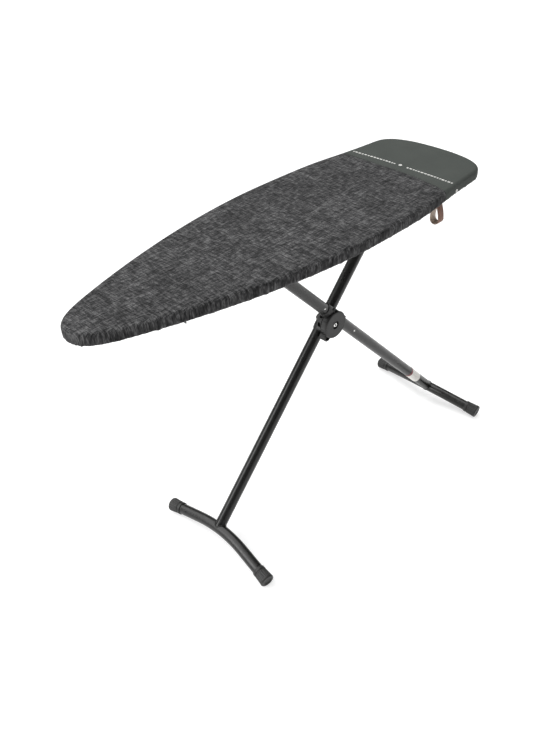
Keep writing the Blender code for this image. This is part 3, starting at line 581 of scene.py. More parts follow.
# --- The cover ---------------------------------------------------------------------------------------------
EDGE_RADIUS = 0.011
WRAP_RADIUS = RIM_RADIUS + 0.0018  # the cloth's outer face round the rim
CLOTH_THICKNESS = 0.0012
SEAM_GAP = 0.0010


def cover_rings():
    """From the flat top over the rounded edge, down the side, round the rim and in to the hem: (inset, z)."""
    rings = []
    for k in range(9):
        a = math.radians(90 * k / 8)
        rings.append((EDGE_RADIUS * (1 - math.sin(a)), TOP_Z - EDGE_RADIUS * (1 - math.cos(a))))
    side_inset = RIM_INSET - WRAP_RADIUS
    side_top = TOP_Z - EDGE_RADIUS
    for k in range(1, 4):
        share = k / 4
        rings.append((side_inset * share, side_top + (RIM_Z - side_top) * share))
    for k in range(8):
        a = math.radians(90 * k / 7)
        rings.append((RIM_INSET - WRAP_RADIUS * math.cos(a), RIM_Z - WRAP_RADIUS * math.sin(a)))
    for k in range(1, 5):
        rings.append((RIM_INSET + (HEM_DEPTH - RIM_INSET) * k / 4, RIM_Z - WRAP_RADIUS))
    return rings


COVER_RINGS = cover_rings()
FIRST_WRAP_RING = 12
LAST_RING = len(COVER_RINGS) - 1


def bow(y):
    """How far forward of its middle the seam lies: the cloth was pulled askew on the loop's side."""
    return np.where(y < 0, -0.6 * y * y, 0.0)


def cloth_lift(x, y):
    """The cloth's small ups and downs over the pad."""
    slow = noise.noise(Vector((x * 9, y * 12, 3.0)))
    quick = noise.noise(Vector((x * 34, y * 26, 9.0)))
    from_seam = abs(x - SEAM_X - float(bow(y)))
    dip = math.exp(-((from_seam / 0.004) ** 2))
    pucker = math.exp(-((from_seam / 0.010) ** 2)) * noise.noise(Vector((1.0, y * 75, 5.0)))
    return 0.0007 * slow + 0.00025 * quick - 0.0006 * dip + 0.0004 * pucker


def lump_places(length):
    """Where the cover's lower edge has small lumps from the gathered hem: (place, size) along the outline."""
    chance = random.Random(SEED)
    made = []
    place = 0.0
    while place < length - 0.05:
        place += chance.uniform(0.045, 0.095)
        made.append((place, chance.uniform(0.0007, 0.0017)))
    return made


def gather_cover(points, travelled, ring):
    """Lifts the flat top a little, and gathers the cloth towards the hem."""
    points = points.copy()
    if ring <= 2:
        fade = 1.0 if ring < 0 else 1 - ring / 3
        points[:, 2] += fade * np.array([cloth_lift(x, y) for x, y, _ in points])
        return points
    middle = np.array((BOARD_CENTRE_X, 0.0))
    outwards = points[:, :2] - middle
    outwards /= np.linalg.norm(outwards, axis=1)[:, None]
    down = min(1.0, max(0.0, (ring - FIRST_WRAP_RING) / (LAST_RING - FIRST_WRAP_RING)))
    nose = np.clip((NOSE_X + 0.085 - points[:, 0]) / 0.07, 0.0, 1.0)
    wander = 1.5 * np.sin(travelled * 41) + 1.1 * np.sin(travelled * 97 + 2)
    folds = 0.5 + 0.5 * np.sin(2 * math.pi * travelled / 0.019 + wander)
    nose_folds = (0.5 + 0.5 * np.sin(2 * math.pi * travelled / 0.0085 + 0.6 * wander)) ** 2
    depth = 0.0016 * down * folds
    points[:, 2] -= depth
    up_the_side = min(1.0, max(0.0, (ring - 8) / 6))
    points[:, :2] += outwards * (nose * nose_folds * 0.0016 * up_the_side)[:, None]
    length = travelled[-1]
    for place, size in lump_places(length):
        bulge = size * np.exp(-(((travelled - place) / 0.0045) ** 2)) * min(1.0, down * 3)
        points[:, 2] -= bulge
        points[:, :2] += outwards * (bulge * 0.5 * (ring < FIRST_WRAP_RING + 6))[:, None]
    return points


def make_cover():
    whole = board_skin("cover_whole", COVER_RINGS, 1000, 30, DENIM, move=gather_cover)
    stop = {"cover_main_cloth": -1, "heat_zone_cloth": 1}
    looks = {"cover_main_cloth": DENIM, "heat_zone_cloth": HEAT_CLOTH}
    made = {}
    for name, side in stop.items():
        bm = bmesh.new()
        bm.from_mesh(whole.data)
        for vert in bm.verts:
            vert.co.x -= float(bow(vert.co.y))
        seam = (SEAM_X + side * SEAM_GAP / 2, 0.0, 0.0)
        everything = bm.verts[:] + bm.edges[:] + bm.faces[:]
        bmesh.ops.bisect_plane(bm, geom=everything, plane_co=seam, plane_no=(-side, 0, 0), clear_outer=True)
        for vert in bm.verts:
            vert.co.x += float(bow(vert.co.y))
        mesh = bpy.data.meshes.new(name)
        area = sum(face.calc_area() for face in bm.faces)
        bm.to_mesh(mesh)
        bm.free()
        mesh.materials.append(looks[name])
        obj = link_object(name, mesh)
        shell = obj.modifiers.new("thickness", "SOLIDIFY")
        shell.thickness = CLOTH_THICKNESS
        shell.offset = -1.0
        smooth(obj, 60)
        made[name] = (obj, area)
    bpy.data.objects.remove(whole)
    return made


def surface_z(x, y):
    return TOP_Z + cloth_lift(x, y)


def capsule_row(name, places, length, radius, material):
    """Stitches or the like: short rounded bars, each (middle, direction)."""
    parts = []
    for k, (middle, along) in enumerate(places):
        middle, along = Vector(middle), Vector(along).normalized()
        shares = (-0.5, -0.42, 0.0, 0.42, 0.5)
        path = [middle + along * length * s for s in shares]
        radii = [radius * r for r in (0.35, 0.85, 1.0, 0.85, 0.35)]
        up = (1, 0, 0) if abs(along.z) > 0.9 else (0, 0, 1)
        parts.append(sweep(f"{name}_{k}", path, radii, material, 6, up))
    return join_all(name, parts)


def make_seam_stitches():
    """A row of topstitching in the heat zone's turned edge."""
    pitch = 0.0050
    places = []
    reach = half_width(SEAM_X) - EDGE_RADIUS - 0.002
    count = int(2 * reach / pitch)
    for i in range(count):
        y = -reach + (i + 0.5) * pitch
        x = SEAM_X + float(bow(y)) + 0.0042
        slope = -1.2 * y if y < 0 else 0.0
        places.append(((x, y, surface_z(x, y) + 0.00015), (slope, 1.0, 0.0)))
    return capsule_row("seam_stitches", places, 0.0034, 0.00045, DARK_THREAD)


def print_line_x(y):
    return BOARD_CENTRE_X + 0.489 - 0.18 * y * y


def printed_patch(name, centre, half_x, half_y, round_shape=False):
    """A thin flat print that follows the cloth."""
    x0, y0 = centre
    if round_shape:
        angles = np.linspace(0, 2 * math.pi, 21)[:-1]
        ring = [(x0 + half_x * math.cos(a), y0 + half_y * math.sin(a)) for a in angles]
    else:
        ring = [(x0 - half_x, y0 - half_y), (x0 + half_x, y0 - half_y)]
        ring += [(x0 + half_x, y0 + half_y), (x0 - half_x, y0 + half_y)]
    count = len(ring)
    points = [(x, y, surface_z(x, y) - 0.0002) for x, y in ring]
    points += [(x, y, surface_z(x, y) + 0.00022) for x, y in ring]
    faces = [tuple(range(count)), tuple(range(count, 2 * count))]
    faces += [(i, (i + 1) % count, count + (i + 1) % count, count + i) for i in range(count)]
    return face_outwards(mesh_object(name, points, faces, WHITE_PRINT))


def make_printed_line():
    """A broken line across the heat zone, with a plain dot in its middle."""
    chance = random.Random(SEED + 1)
    gap_by_dot, line_end = 0.022, 0.186
    dash_half_width, dot_radius = 0.0029, 0.0055
    parts = []
    for side in (-1, 1):
        y = gap_by_dot
        while y < line_end:
            length = chance.choice((0.0050, 0.0065, 0.0085))
            centre = side * (y + length / 2)
            place = (print_line_x(centre), centre)
            parts.append(printed_patch(f"dash_{len(parts)}", place, dash_half_width, length / 2))
            y += length + chance.choice((0.0035, 0.0042))
    place = (print_line_x(0) + 0.002, 0.004)
    parts.append(printed_patch("dot_middle", place, dot_radius, dot_radius, True))
    return join_all("printed_line", parts)


def make_side_dots():
    """A plain dot at each end of the line, on the cover's side band."""
    parts = []
    x = BOARD_CENTRE_X + 0.491
    ahead, behind = half_width(x + 0.01), half_width(x - 0.01)
    for side in (-1, 1):
        outwards = Vector((behind - ahead, side * 0.02, 0.0)).normalized()
        point = Vector((x, side * half_width(x), RIM_Z + 0.001)) - outwards * 0.0002
        profile = [(0.0, 0.0010), (0.0048, 0.0010), (0.0052, 0.0008), (0.0052, -0.0010), (0.0, -0.0010)]
        parts.append(turned(f"side_dot_{side}", profile, axis_place(point, outwards), WHITE_PRINT, 24))
    return join_all("side_dots", parts)


def make_hem_binding():
    """The narrow tunnel at the hem's inner edge that holds the elastic, gathered all along."""
    count = 700
    base, inwards, travelled = even_outline(count)
    line = base + inwards * HEM_DEPTH
    wander = 1.5 * np.sin(travelled * 41) + 1.1 * np.sin(travelled * 97 + 2)
    folds = 0.5 + 0.5 * np.sin(2 * math.pi * travelled / 0.019 + wander)
    z = RIM_Z - WRAP_RADIUS - 0.0016 * folds + 0.0006
    path = [(x, y, height) for (x, y), height in zip(line, z)]
    radii = [float(0.0021 + 0.0007 * fold) for fold in folds]
    return sweep("hem_binding", path, radii, DARK_THREAD, 8, closed=True)


def build_cover():
    made = make_cover()
    main, main_area = made["cover_main_cloth"]
    heat, heat_area = made["heat_zone_cloth"]
    binding = make_hem_binding()
    stitches = make_seam_stitches()
    line = make_printed_line()
    dots = make_side_dots()
    settle(main, "board", "denim", "cover_main")
    settle(heat, "board", "heat_cloth", "cover_heat_zone")
    settle(binding, "board", "denim")
    for piece in (stitches, line, dots):
        settle(piece, "board", "heat_cloth")


# --- Under the cover ---------------------------------------------------------------------------------------
def make_pad():
    """The felt underlay: a soft sheet whose underside shows through the mesh."""
    inset = REAR_X - PAD_HIGH.x
    low, high = PAD_LOW.z, PAD_HIGH.z
    rings = [(inset + 0.003, high), (inset + 0.0008, high - 0.001), (inset, high - 0.003)]
    rings += [(inset, low + 0.003), (inset + 0.0008, low + 0.001), (inset + 0.003, low)]

    def soften(points, travelled, ring):
        points = points.copy()
        uneven = np.array([noise.noise(Vector((x * 45, y * 45, z * 90))) for x, y, z in points])
        points[:, 2] += 0.0003 * uneven if ring >= 5 else 0.0
        return points

    pad = smooth(board_skin("felt_underlay", rings, 320, 16, FELT, True, soften), 60)
    settle(pad, "board", "felt", "felt_pad")


def make_panel():
    """Expanded steel mesh: diamonds of thin strands inside the rim."""
    long_step, short_step = 0.011, 0.0058
    inset = REAR_X - PANEL_HIGH.x
    panel_z = middle_of("board_panel").z
    bm = bmesh.new()
    verts = {}

    def vert(i, j):
        if (i, j) not in verts:
            verts[i, j] = bm.verts.new((BOARD_CENTRE_X + i * long_step, j * short_step, panel_z))
        return verts[i, j]

    def inside(i, j):
        x = BOARD_CENTRE_X + i * long_step
        past_ends = NOSE_X + inset + 0.004 > x or x > REAR_X - inset - 0.004
        return not past_ends and abs(j * short_step) < half_width(x) - inset

    reach_x, reach_y = int(BOARD_LENGTH / long_step / 2), int(BOARD_HALF_WIDTH / short_step)
    for i in range(-reach_x, reach_x + 1):
        for j in range(-reach_y, reach_y + 1):
            corners = ((i + 1, j), (i, j + 1), (i - 1, j), (i, j - 1))
            if (i + j) % 2 and all(inside(*corner) for corner in corners):
                bm.faces.new([vert(*corner) for corner in corners])
    mesh = bpy.data.meshes.new("expanded_mesh_panel")
    bm.to_mesh(mesh)
    bm.free()
    mesh.materials.append(ZINC)
    obj = link_object("expanded_mesh_panel", mesh)
    strands = obj.modifiers.new("strands", "WIREFRAME")
    strands.thickness = 0.0013
    strands.use_even_offset = False
    settle(obj, "board", "zinc", "board_panel")


def make_rim_tube():
    base, inwards, _ = even_outline(420)
    path = [(x, y, RIM_Z) for x, y in base + inwards * RIM_INSET]
    rim = sweep("rim_tube", path, RIM_RADIUS, BLACK_PAINT, 20, closed=True)
    settle(rim, "board", "black_paint", "board_rim")


# --- Legs and feet -----------------------------------------------------------------------------------------
FOOT_BEND_HALF = 0.10
FOOT_SLOPE = 0.195
FOOT_CAP_Y = 0.227
FOOT_CAP_LENGTH = 0.048


def foot_drop(y):
    """How far the foot bar has moved down along its leg at this distance from its middle."""
    away = abs(y)
    if away < FOOT_BEND_HALF:
        return FOOT_SLOPE * away**2 / (2 * FOOT_BEND_HALF)
    return FOOT_SLOPE * (away - FOOT_BEND_HALF / 2)


def foot_middle(name, up):
    """The middle of a foot bar's axis, on the line of its leg through the crossing."""
    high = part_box(f"{name}_foot_bar")[1]
    return CROSSING - up * ((CROSSING.z - high.z + TUBE_RADIUS * 0.999) / up.z)


def make_foot_caps(name, up, body):
    """Moulded end caps: a collar, a fluted flare and a recess in the end, flattened where they stand."""
    middle = foot_middle(name, up)
    length = FOOT_CAP_LENGTH
    collar, flare = TUBE_RADIUS + 0.0026, 0.0222
    flutes = 20

    def shape(radius, height, angle):
        if not 0.0135 < height < length - 0.0055 or radius < TUBE_RADIUS + 0.0005:
            return radius
        wave = 0.5 + 0.5 * math.cos(flutes * angle)
        return radius - 0.0013 * wave**2

    profile = [(0.0, length - 0.0022), (0.0095, length - 0.0022), (0.0118, length - 0.0018)]
    profile += [(0.0128, length - 0.0006), (0.0138, length), (flare - 0.0036, length)]
    profile += [(flare - 0.0018, length - 0.0005), (flare - 0.0007, length - 0.0016)]
    profile += [(flare, length - 0.0036)]
    for k in range(8):
        share = k / 7
        height = length - 0.006 - (length - 0.006 - 0.0140) * share
        radius = flare - 0.0002 - (flare - collar - 0.0002) * share**0.85
        profile.append((radius, height))
    profile += [(collar - 0.0003, 0.0130), (collar - 0.0016, 0.0124), (collar - 0.0016, 0.0106)]
    profile += [(collar, 0.0100), (collar, 0.0016), (collar - 0.0006, 0.0005), (collar - 0.0014, 0.0)]
    profile += [(TUBE_RADIUS + 0.0003, 0.0), (TUBE_RADIUS + 0.0003, 0.012), (0.0, 0.012)]
    for side_name, side in (("left", -1), ("right", 1)):
        outwards = (Vector((0.0, side, 0.0)) - up * FOOT_SLOPE).normalized()
        end = middle - up * foot_drop(FOOT_CAP_Y) + Vector((0.0, side * FOOT_CAP_Y, 0.0))
        place = axis_place(end - outwards * length, outwards)
        cap = turned(f"{name}_foot_fluted_cap_{side_name}", profile, place, BLACK_PLASTIC, 156, shape, 40)
        for vert in cap.data.vertices:
            vert.co.z = max(vert.co.z, 0.0)
        settle(cap, body, "black_plastic", f"{name}_foot_cap_{side_name}")


def make_foot_bar(name, up, body):
    """The bent foot bar, smooth round its bend."""
    middle = foot_middle(name, up)
    reach = FOOT_CAP_Y - 0.010
    path = []
    for k in range(91):
        y = reach * (2 * k / 90 - 1)
        path.append(middle - up * foot_drop(y) + Vector((0.0, y, 0.0)))
    bar = sweep(f"{name}_foot_bar_tube", path, TUBE_RADIUS, BLACK_PAINT, 48, up)
    settle(bar, body, "black_paint", f"{name}_foot_bar")


def make_leg_tube(name, up, y, body):
    """A straight leg tube from its foot bar to the plug in its top."""
    low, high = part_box(f"{name}_leg_plug")
    top = CROSSING + Vector((0.0, y, 0.0)) + up * ((low + high) / 2 - CROSSING).dot(up)
    start = foot_middle(name, up) - up * foot_drop(y) + Vector((0.0, y, 0.0))
    path = [start + (top - start) * (k / 24) for k in range(25)]
    tube = sweep(f"{name}_leg_round_tube", path, TUBE_RADIUS, BLACK_PAINT, 64, (0, 1, 0))
    settle(tube, body, "black_paint", f"{name}_leg_tube")


def make_foot_weld(name, up, y, body):
    """The weld bead where a leg tube meets its foot bar, with the ripples of its passes."""
    middle = foot_middle(name, up) + Vector((0.0, y, 0.0)) - up * foot_drop(y)
    aside = Vector((0.0, 1.0, 0.0)).cross(up).normalized()
    slope = FOOT_SLOPE * y / FOOT_BEND_HALF
    count = 120
    path, radii = [], []
    for k in range(count):
        turn = 2 * math.pi * k / count
        across, along_bar = TUBE_RADIUS * math.cos(turn), TUBE_RADIUS * math.sin(turn)
        rise = math.sqrt(max(0.0, (TUBE_RADIUS + 0.0003) ** 2 - across**2))
        rise = max(rise, 0.0022)
        path.append(middle + aside * across + Vector((0.0, along_bar, 0.0)) + up * (rise - slope * along_bar))
        ripple = noise.noise(Vector((k * 0.45, y * 100, 2.0)))
        radii.append(0.0021 + 0.0003 * math.sin(k * 1.9) + 0.0003 * ripple)
    bead = sweep(f"{name}_foot_weld", path, radii, BLACK_PAINT, 10, up, closed=True)
    settle(bead, body, "black_paint")


def make_label():
    """A wrapped film label on the rear leg, pale with a dark red stripe at its upper end."""
    centre = CROSSING - Vector((0.0, LEG_SIDE_Y, 0.0)) - UP_REAR * 0.5945
    length, stripe = 0.075, 0.0095
    inner, outer = TUBE_RADIUS + 0.0002, TUBE_RADIUS + 0.00055
    towards_viewer = Vector((0.0, -1.0, 0.0))
    third = (-UP_REAR).cross(towards_viewer)
    bands = (("leg_label_film", stripe, length, LABEL_FILM), ("leg_label_stripe", 0.0, stripe, LABEL_RED))
    for name, start, stop, material in bands:
        points = []
        sides = 32
        for travel in (start, stop):
            at = centre + UP_REAR * (length / 2 - travel)
            for radius in (inner, outer):
                for i in range(sides + 1):
                    turn = math.radians(-105 + 210 * i / sides)
                    points.append(at + (towards_viewer * math.cos(turn) + third * math.sin(turn)) * radius)
        row = sides + 1
        faces = []
        for i in range(sides):
            for a, b in ((0, 1), (1, 3), (3, 2), (2, 0)):
                faces.append((a * row + i, a * row + i + 1, b * row + i + 1, b * row + i))
        for i in (0, sides):
            faces.append((i, row + i, 3 * row + i, 2 * row + i))
        band = smooth(face_outwards(mesh_object(name, points, faces, material)))
        replaced = ["leg_label"] if name == "leg_label_film" else []
        settle(band, "rear_leg", "label", *replaced)


def make_rivets():
    away = 0.0965
    profile = [(0.0, 0.0019), (0.0010, 0.00185), (0.0019, 0.0015), (0.0026, 0.0010), (0.0031, 0.0004)]
    profile += [(0.0033, 0.0), (0.0033, -0.0008), (0.0, -0.0008)]
    for name, side in (("upper", 1), ("lower", -1)):
        point = CROSSING + UP_REAR * (side * away)
        point.y = -LEG_SIDE_Y - TUBE_RADIUS
        rivet = turned(f"domed_rivet_{name}", profile, axis_place(point, (0, -1, 0)), BRIGHT_STEEL, 32)
        settle(rivet, "rear_leg", "bright_steel", f"rear_leg_rivet_{name}")


# --- The pivot ---------------------------------------------------------------------------------------------
def pivot_at(y):
    return Vector((PIVOT.x, y, PIVOT.z))


def in_window(angle, centre, half):
    away = (angle - centre + math.pi) % (2 * math.pi) - math.pi
    return abs(away) < half


HUB_INNER_Y = 0.0035
HUB_OUTER_Y = -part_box("pivot_bracket_rear")[0].y
BARREL_RADIUS = 0.0400


def make_hub_barrel():
    """The rear bracket's boss: a barrel behind the cover disc, with a rib and moulded pockets round it."""
    radius = BARREL_RADIUS
    depth = HUB_OUTER_Y - HUB_INNER_Y
    pockets = 9

    def shape(r, height, angle):
        if r < radius - 0.004:
            return r
        step = 2 * math.pi / pockets
        nearest = round(angle / step) * step
        if 0.0040 < height < 0.0150 and in_window(angle, nearest, 0.17):
            return r - 0.0070
        if 0.0195 < height < depth - 0.004 and in_window(angle, nearest + step / 2, 0.045):
            return r + 0.0012
        return r

    profile = [(0.0, depth), (radius - 0.0030, depth), (radius - 0.0030, depth - 0.0026)]
    profile += [(radius - 0.0006, depth - 0.0030), (radius, depth - 0.0038)]
    profile += [(radius, height) for height in (0.0310, 0.0300, 0.0200, 0.0193, 0.0182)]
    profile += [(radius - 0.0018, 0.0176), (radius - 0.0018, 0.0166), (radius, 0.0160)]
    profile += [(radius, height) for height in (0.0152, 0.0148, 0.0095, 0.0042, 0.0038, 0.0020)]
    profile += [(radius - 0.0014, 0.0), (0.0, 0.0)]
    place = axis_place(pivot_at(-HUB_INNER_Y), (0, -1, 0))
    barrel = turned("pivot_barrel", profile, place, BLACK_PLASTIC, 288, shape)
    settle(barrel, "rear_leg", "black_plastic", "pivot_bracket_rear")


def make_sleeve(name, up, side, low, high, body):
    """The bracket's sleeve round a leg tube, with a thin lip at each end and a parting ridge."""
    centre = CROSSING + up * (PIVOT - CROSSING).dot(up) + Vector((0.0, side * LEG_SIDE_Y, 0.0))
    outer, bore = TUBE_RADIUS + 0.0034, TUBE_RADIUS + 0.0001
    end = TUBE_RADIUS + 0.0020

    def shape(r, height, angle):
        ridge = 0.0006 if r > outer - 0.001 and in_window(angle, 0.0, 0.04) else 0.0
        return r + ridge

    def half(reach):
        return [(end - 0.0006, reach), (end, reach - 0.0006), (outer, reach - 0.012), (outer, reach - 0.014)]

    profile = [(bore, high)] + half(high) + [(r, -h) for r, h in reversed(half(low))] + [(bore, -low)]
    sleeve = turned_ring(name, profile, axis_place(centre, up), BLACK_PLASTIC, 96, shape)
    settle(sleeve, body, "black_plastic")


def make_shoulder():
    """The block that joins the barrel to the rear sleeve, with flat faces and a bright upper edge."""
    centre = CROSSING + UP_REAR * (PIVOT - CROSSING).dot(UP_REAR)
    aside = Vector((0.0, -1.0, 0.0)).cross(UP_REAR).normalized()
    towards_bolt = -aside if aside.dot(PIVOT - CROSSING) < 0 else aside
    half_along, top = 0.040, TUBE_RADIUS + 0.0022
    outline = [(-half_along, 0.0), (-half_along + 0.006, top), (half_along - 0.008, top)]
    outline += [(half_along, top - 0.006)]
    outline += [(half_along, 0.0), (half_along - 0.006, 0.014), (-half_along + 0.006, 0.014)]
    turn = Matrix((UP_REAR, -towards_bolt, UP_REAR.cross(-towards_bolt))).transposed().to_4x4()
    y = -(HUB_OUTER_Y + HUB_INNER_Y) / 2
    place = Matrix.Translation(centre + Vector((0.0, y, 0.0))) @ turn
    block = slab("pivot_shoulder", outline, HUB_OUTER_Y - HUB_INNER_Y - 0.004, place, BLACK_PLASTIC, 0.0015)
    settle(block, "rear_leg", "black_plastic")


def make_stop_lobe():
    """The round stop under the barrel, hollowed from its near side."""
    at = Vector((-0.52, 0.0, -0.854)) * 0.046
    radius = 0.0130
    start, stop = pivot_at(-0.009) + at, pivot_at(-0.034) + at
    depth = (stop - start).length
    profile = [(0.0, depth - 0.006), (radius - 0.0050, depth - 0.006), (radius - 0.0042, depth - 0.0006)]
    profile += [(radius - 0.0034, depth), (radius - 0.0016, depth), (radius, depth - 0.0016)]
    profile += [(radius, 0.0022), (radius - 0.0022, 0.0), (0.0, 0.0)]
    lobe = turned("pivot_stop_lobe", profile, axis_place(start, stop - start), BLACK_PLASTIC, 64)
    settle(lobe, "rear_leg", "black_plastic")


def make_cover_disc():
    """The face of the hub: a chamfered disc with a shallow ring groove and a deep recess for the bolt."""
    low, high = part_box("pivot_cover")
    radius = (high.x - low.x) / 2
    depth = high.y - low.y
    hole = 0.0125
    profile = [(hole + 0.0008, depth), (radius - 0.0052, depth), (radius - 0.0048, depth - 0.0003)]
    profile += [(radius - 0.0044, depth - 0.0003), (radius - 0.0040, depth), (radius - 0.0026, depth)]
    profile += [(radius - 0.0006, depth - 0.0018), (radius, depth - 0.0026), (radius, 0.0005)]
    profile += [(radius - 0.0006, 0.0), (hole, 0.0), (hole, depth - 0.0008)]
    place = axis_place(pivot_at(high.y), (0, -1, 0))
    disc = turned_ring("pivot_cover_disc", profile, place, BLACK_PLASTIC, 128)
    settle(disc, "rear_leg", "black_plastic", "pivot_cover")


def hexagon_piece(name, start, along, across_flats, height, material, dish=0.0):
    """A hexagon head or nut with its corners turned off."""
    corner = across_flats / math.sqrt(3)
    flat = across_flats / 2

    def shape(radius, level, angle):
        if radius < corner * 0.8:
            return radius
        side = angle % (math.pi / 3) - math.pi / 6
        edge = flat / math.cos(side)
        crown = height - level
        turned_off = flat + crown * 2.4
        return min(edge, turned_off)

    profile = [(0.0, height - dish), (0.0035, height - dish), (0.0045, height)]
    profile += [(corner, height), (corner, height * 0.92), (corner, height * 0.8), (corner, height * 0.5)]
    profile += [(corner, 0.0), (0.0, 0.0)]
    return turned(name, profile, axis_place(start, along), material, 96, shape, 25)


def make_bolt():
    """The bolt's head with painted shade in its socket, its locking nut on the far side, and its threaded
    end.
    """
    face = HUB_OUTER_Y
    towards = Vector((0.0, -1.0, 0.0))
    head = [(0.0, 0.0018), (0.0030, 0.0018), (0.0034, 0.0040), (0.0056, 0.0040)]
    head += [(0.0070, 0.0030), (0.0072, 0.0018), (0.0072, 0.0), (0.0, 0.0)]
    head = turned("pivot_bolt_head", head, axis_place(pivot_at(-face), towards), BRIGHT_STEEL, 64)
    settle(head, "rear_leg", "bright_steel", "pivot_bolt")
    # The socket's darkness is painted shade: a black plastic hexagon at the bottom of the head's recess.
    socket = [(0.0, 0.0022), (0.0031, 0.0022), (0.0031, 0.0014), (0.0, 0.0014)]
    place = axis_place(pivot_at(-face), towards)
    socket = turned("pivot_bolt_socket_shade", socket, place, BLACK_PLASTIC, 6, None, 20)
    settle(socket, "rear_leg", "black_plastic")
    low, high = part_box("pivot_nut")
    back, height = low.y, high.y - low.y
    nut = hexagon_piece("pivot_lock_nut", pivot_at(back), -towards, 0.0100, height, BRIGHT_STEEL, 0.0010)
    settle(nut, "front_leg", "bright_steel", "pivot_nut")
    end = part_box("pivot_bolt")[1].y
    thread = [(0.0, 0.0), (0.0022, 0.0), (0.0029, 0.0007)]
    reach = end - back - 0.003
    turns = 5
    for k in range(turns):
        at = 0.0010 + (reach - 0.001) * k / turns
        thread += [(0.0029, at), (0.0025, at + 0.0004), (0.0029, at + 0.0008)]
    thread += [(0.0029, reach), (0.0, reach)]
    tail = turned("pivot_bolt_tail", thread, axis_place(pivot_at(end), (0, -1, 0)), BRIGHT_STEEL, 32)
    settle(tail, "rear_leg", "bright_steel")


def make_front_boss():
    """The front bracket's boss, on the far side of the hub."""
    radius = 0.0105
    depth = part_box("pivot_nut")[0].y - 0.0003 - HUB_INNER_Y
    profile = [(0.0, 0.0), (radius - 0.001, 0.0), (radius, 0.001)]
    profile += [(radius, depth - 0.0012), (radius - 0.0012, depth), (0.0, depth)]
    place = axis_place(pivot_at(HUB_INNER_Y), (0, 1, 0))
    boss = turned("front_bracket_boss", profile, place, BLACK_PLASTIC, 64)
    settle(boss, "front_leg", "black_plastic", "pivot_bracket_front")


# --- The release and its loop ------------------------------------------------------------------------------
def filleted(points, radius, steps=6):
    """The path with its corners rounded."""
    points = [Vector(p) for p in points]
    made = [points[0]]
    for before, corner, after in zip(points, points[1:], points[2:]):
        into, out_of = before - corner, after - corner
        reach = min(radius, into.length * 0.45, out_of.length * 0.45)
        start, stop = corner + into.normalized() * reach, corner + out_of.normalized() * reach
        for k in range(steps + 1):
            t = k / steps
            made.append(start * (1 - t) ** 2 + corner * (2 * t * (1 - t)) + stop * t**2)
    return made + [points[-1]]


LOOP_Y, LOOP_Z = -0.182, 0.9345
LEVER_X = BOARD_CENTRE_X + 0.394


def make_release_rod():
    y, z = ROD_AXIS.y, ROD_AXIS.z
    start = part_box("release_rod")[0].x
    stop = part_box("release_rod")[1].x
    points = [(start, y, z), (LEVER_X - 0.004, y, z), (LEVER_X + 0.001, -0.140, z + 0.009)]
    points += [(LEVER_X + 0.003, LOOP_Y, LOOP_Z - 0.001), (stop, LOOP_Y, LOOP_Z)]
    path = filleted(points, 0.012)
    radii = [ROD_RADIUS * 0.97] * len(path)
    rod = sweep("release_rod_wire", path, radii, BLACK_PAINT, 20)
    settle(rod, "release", "black_paint", "release_rod")


def make_spring():
    low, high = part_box("release_spring")
    wire = 0.0007
    radius = (high.z - low.z) / 2 - wire
    turns, steps = 4, 28
    length = high.x - low.x - 2 * wire
    path = []
    for i in range(turns * steps + 1):
        angle = 2 * math.pi * i / steps
        x = low.x + wire + length * i / (turns * steps)
        path.append((x, ROD_AXIS.y + radius * math.cos(angle), ROD_AXIS.z + radius * math.sin(angle)))
    spring = sweep("torsion_spring", path, wire, BRIGHT_STEEL, 10, (1, 0, 0))
    settle(spring, "board", "bright_steel", "release_spring")


LOOP_WIDTH = 0.026
LOOP_THICKNESS = 0.0022
LOOP_HALF = 0.0132
LOOP_DROP = 0.0580


def loop_line(offset):
    """The strap's closed line as (y, z) from its hanging point, this far outside its inner face."""
    top = ROD_RADIUS + 0.0006 + offset
    wide = LOOP_HALF + offset
    centre = -LOOP_DROP + LOOP_THICKNESS + LOOP_HALF
    upper = [math.radians(10 + 160 * i / 14) for i in range(15)]
    lower = [math.radians(185 + 170 * i / 26) for i in range(27)]
    made = [(top * math.cos(a), top * math.sin(a)) for a in upper]
    left = made[-1]
    first_low = (wide * math.cos(lower[0]), centre + wide * math.sin(lower[0]))
    side = []
    for i in range(1, 10):
        t = i / 10
        eased = math.sin(t * math.pi / 2)
        side.append((left[0] + (first_low[0] - left[0]) * eased, left[1] + (first_low[1] - left[1]) * t))
    bowl = [(wide * math.cos(a), centre + wide * math.sin(a)) for a in lower]
    other_side = [(-y, z) for y, z in reversed(side)]
    return made + side + bowl + other_side


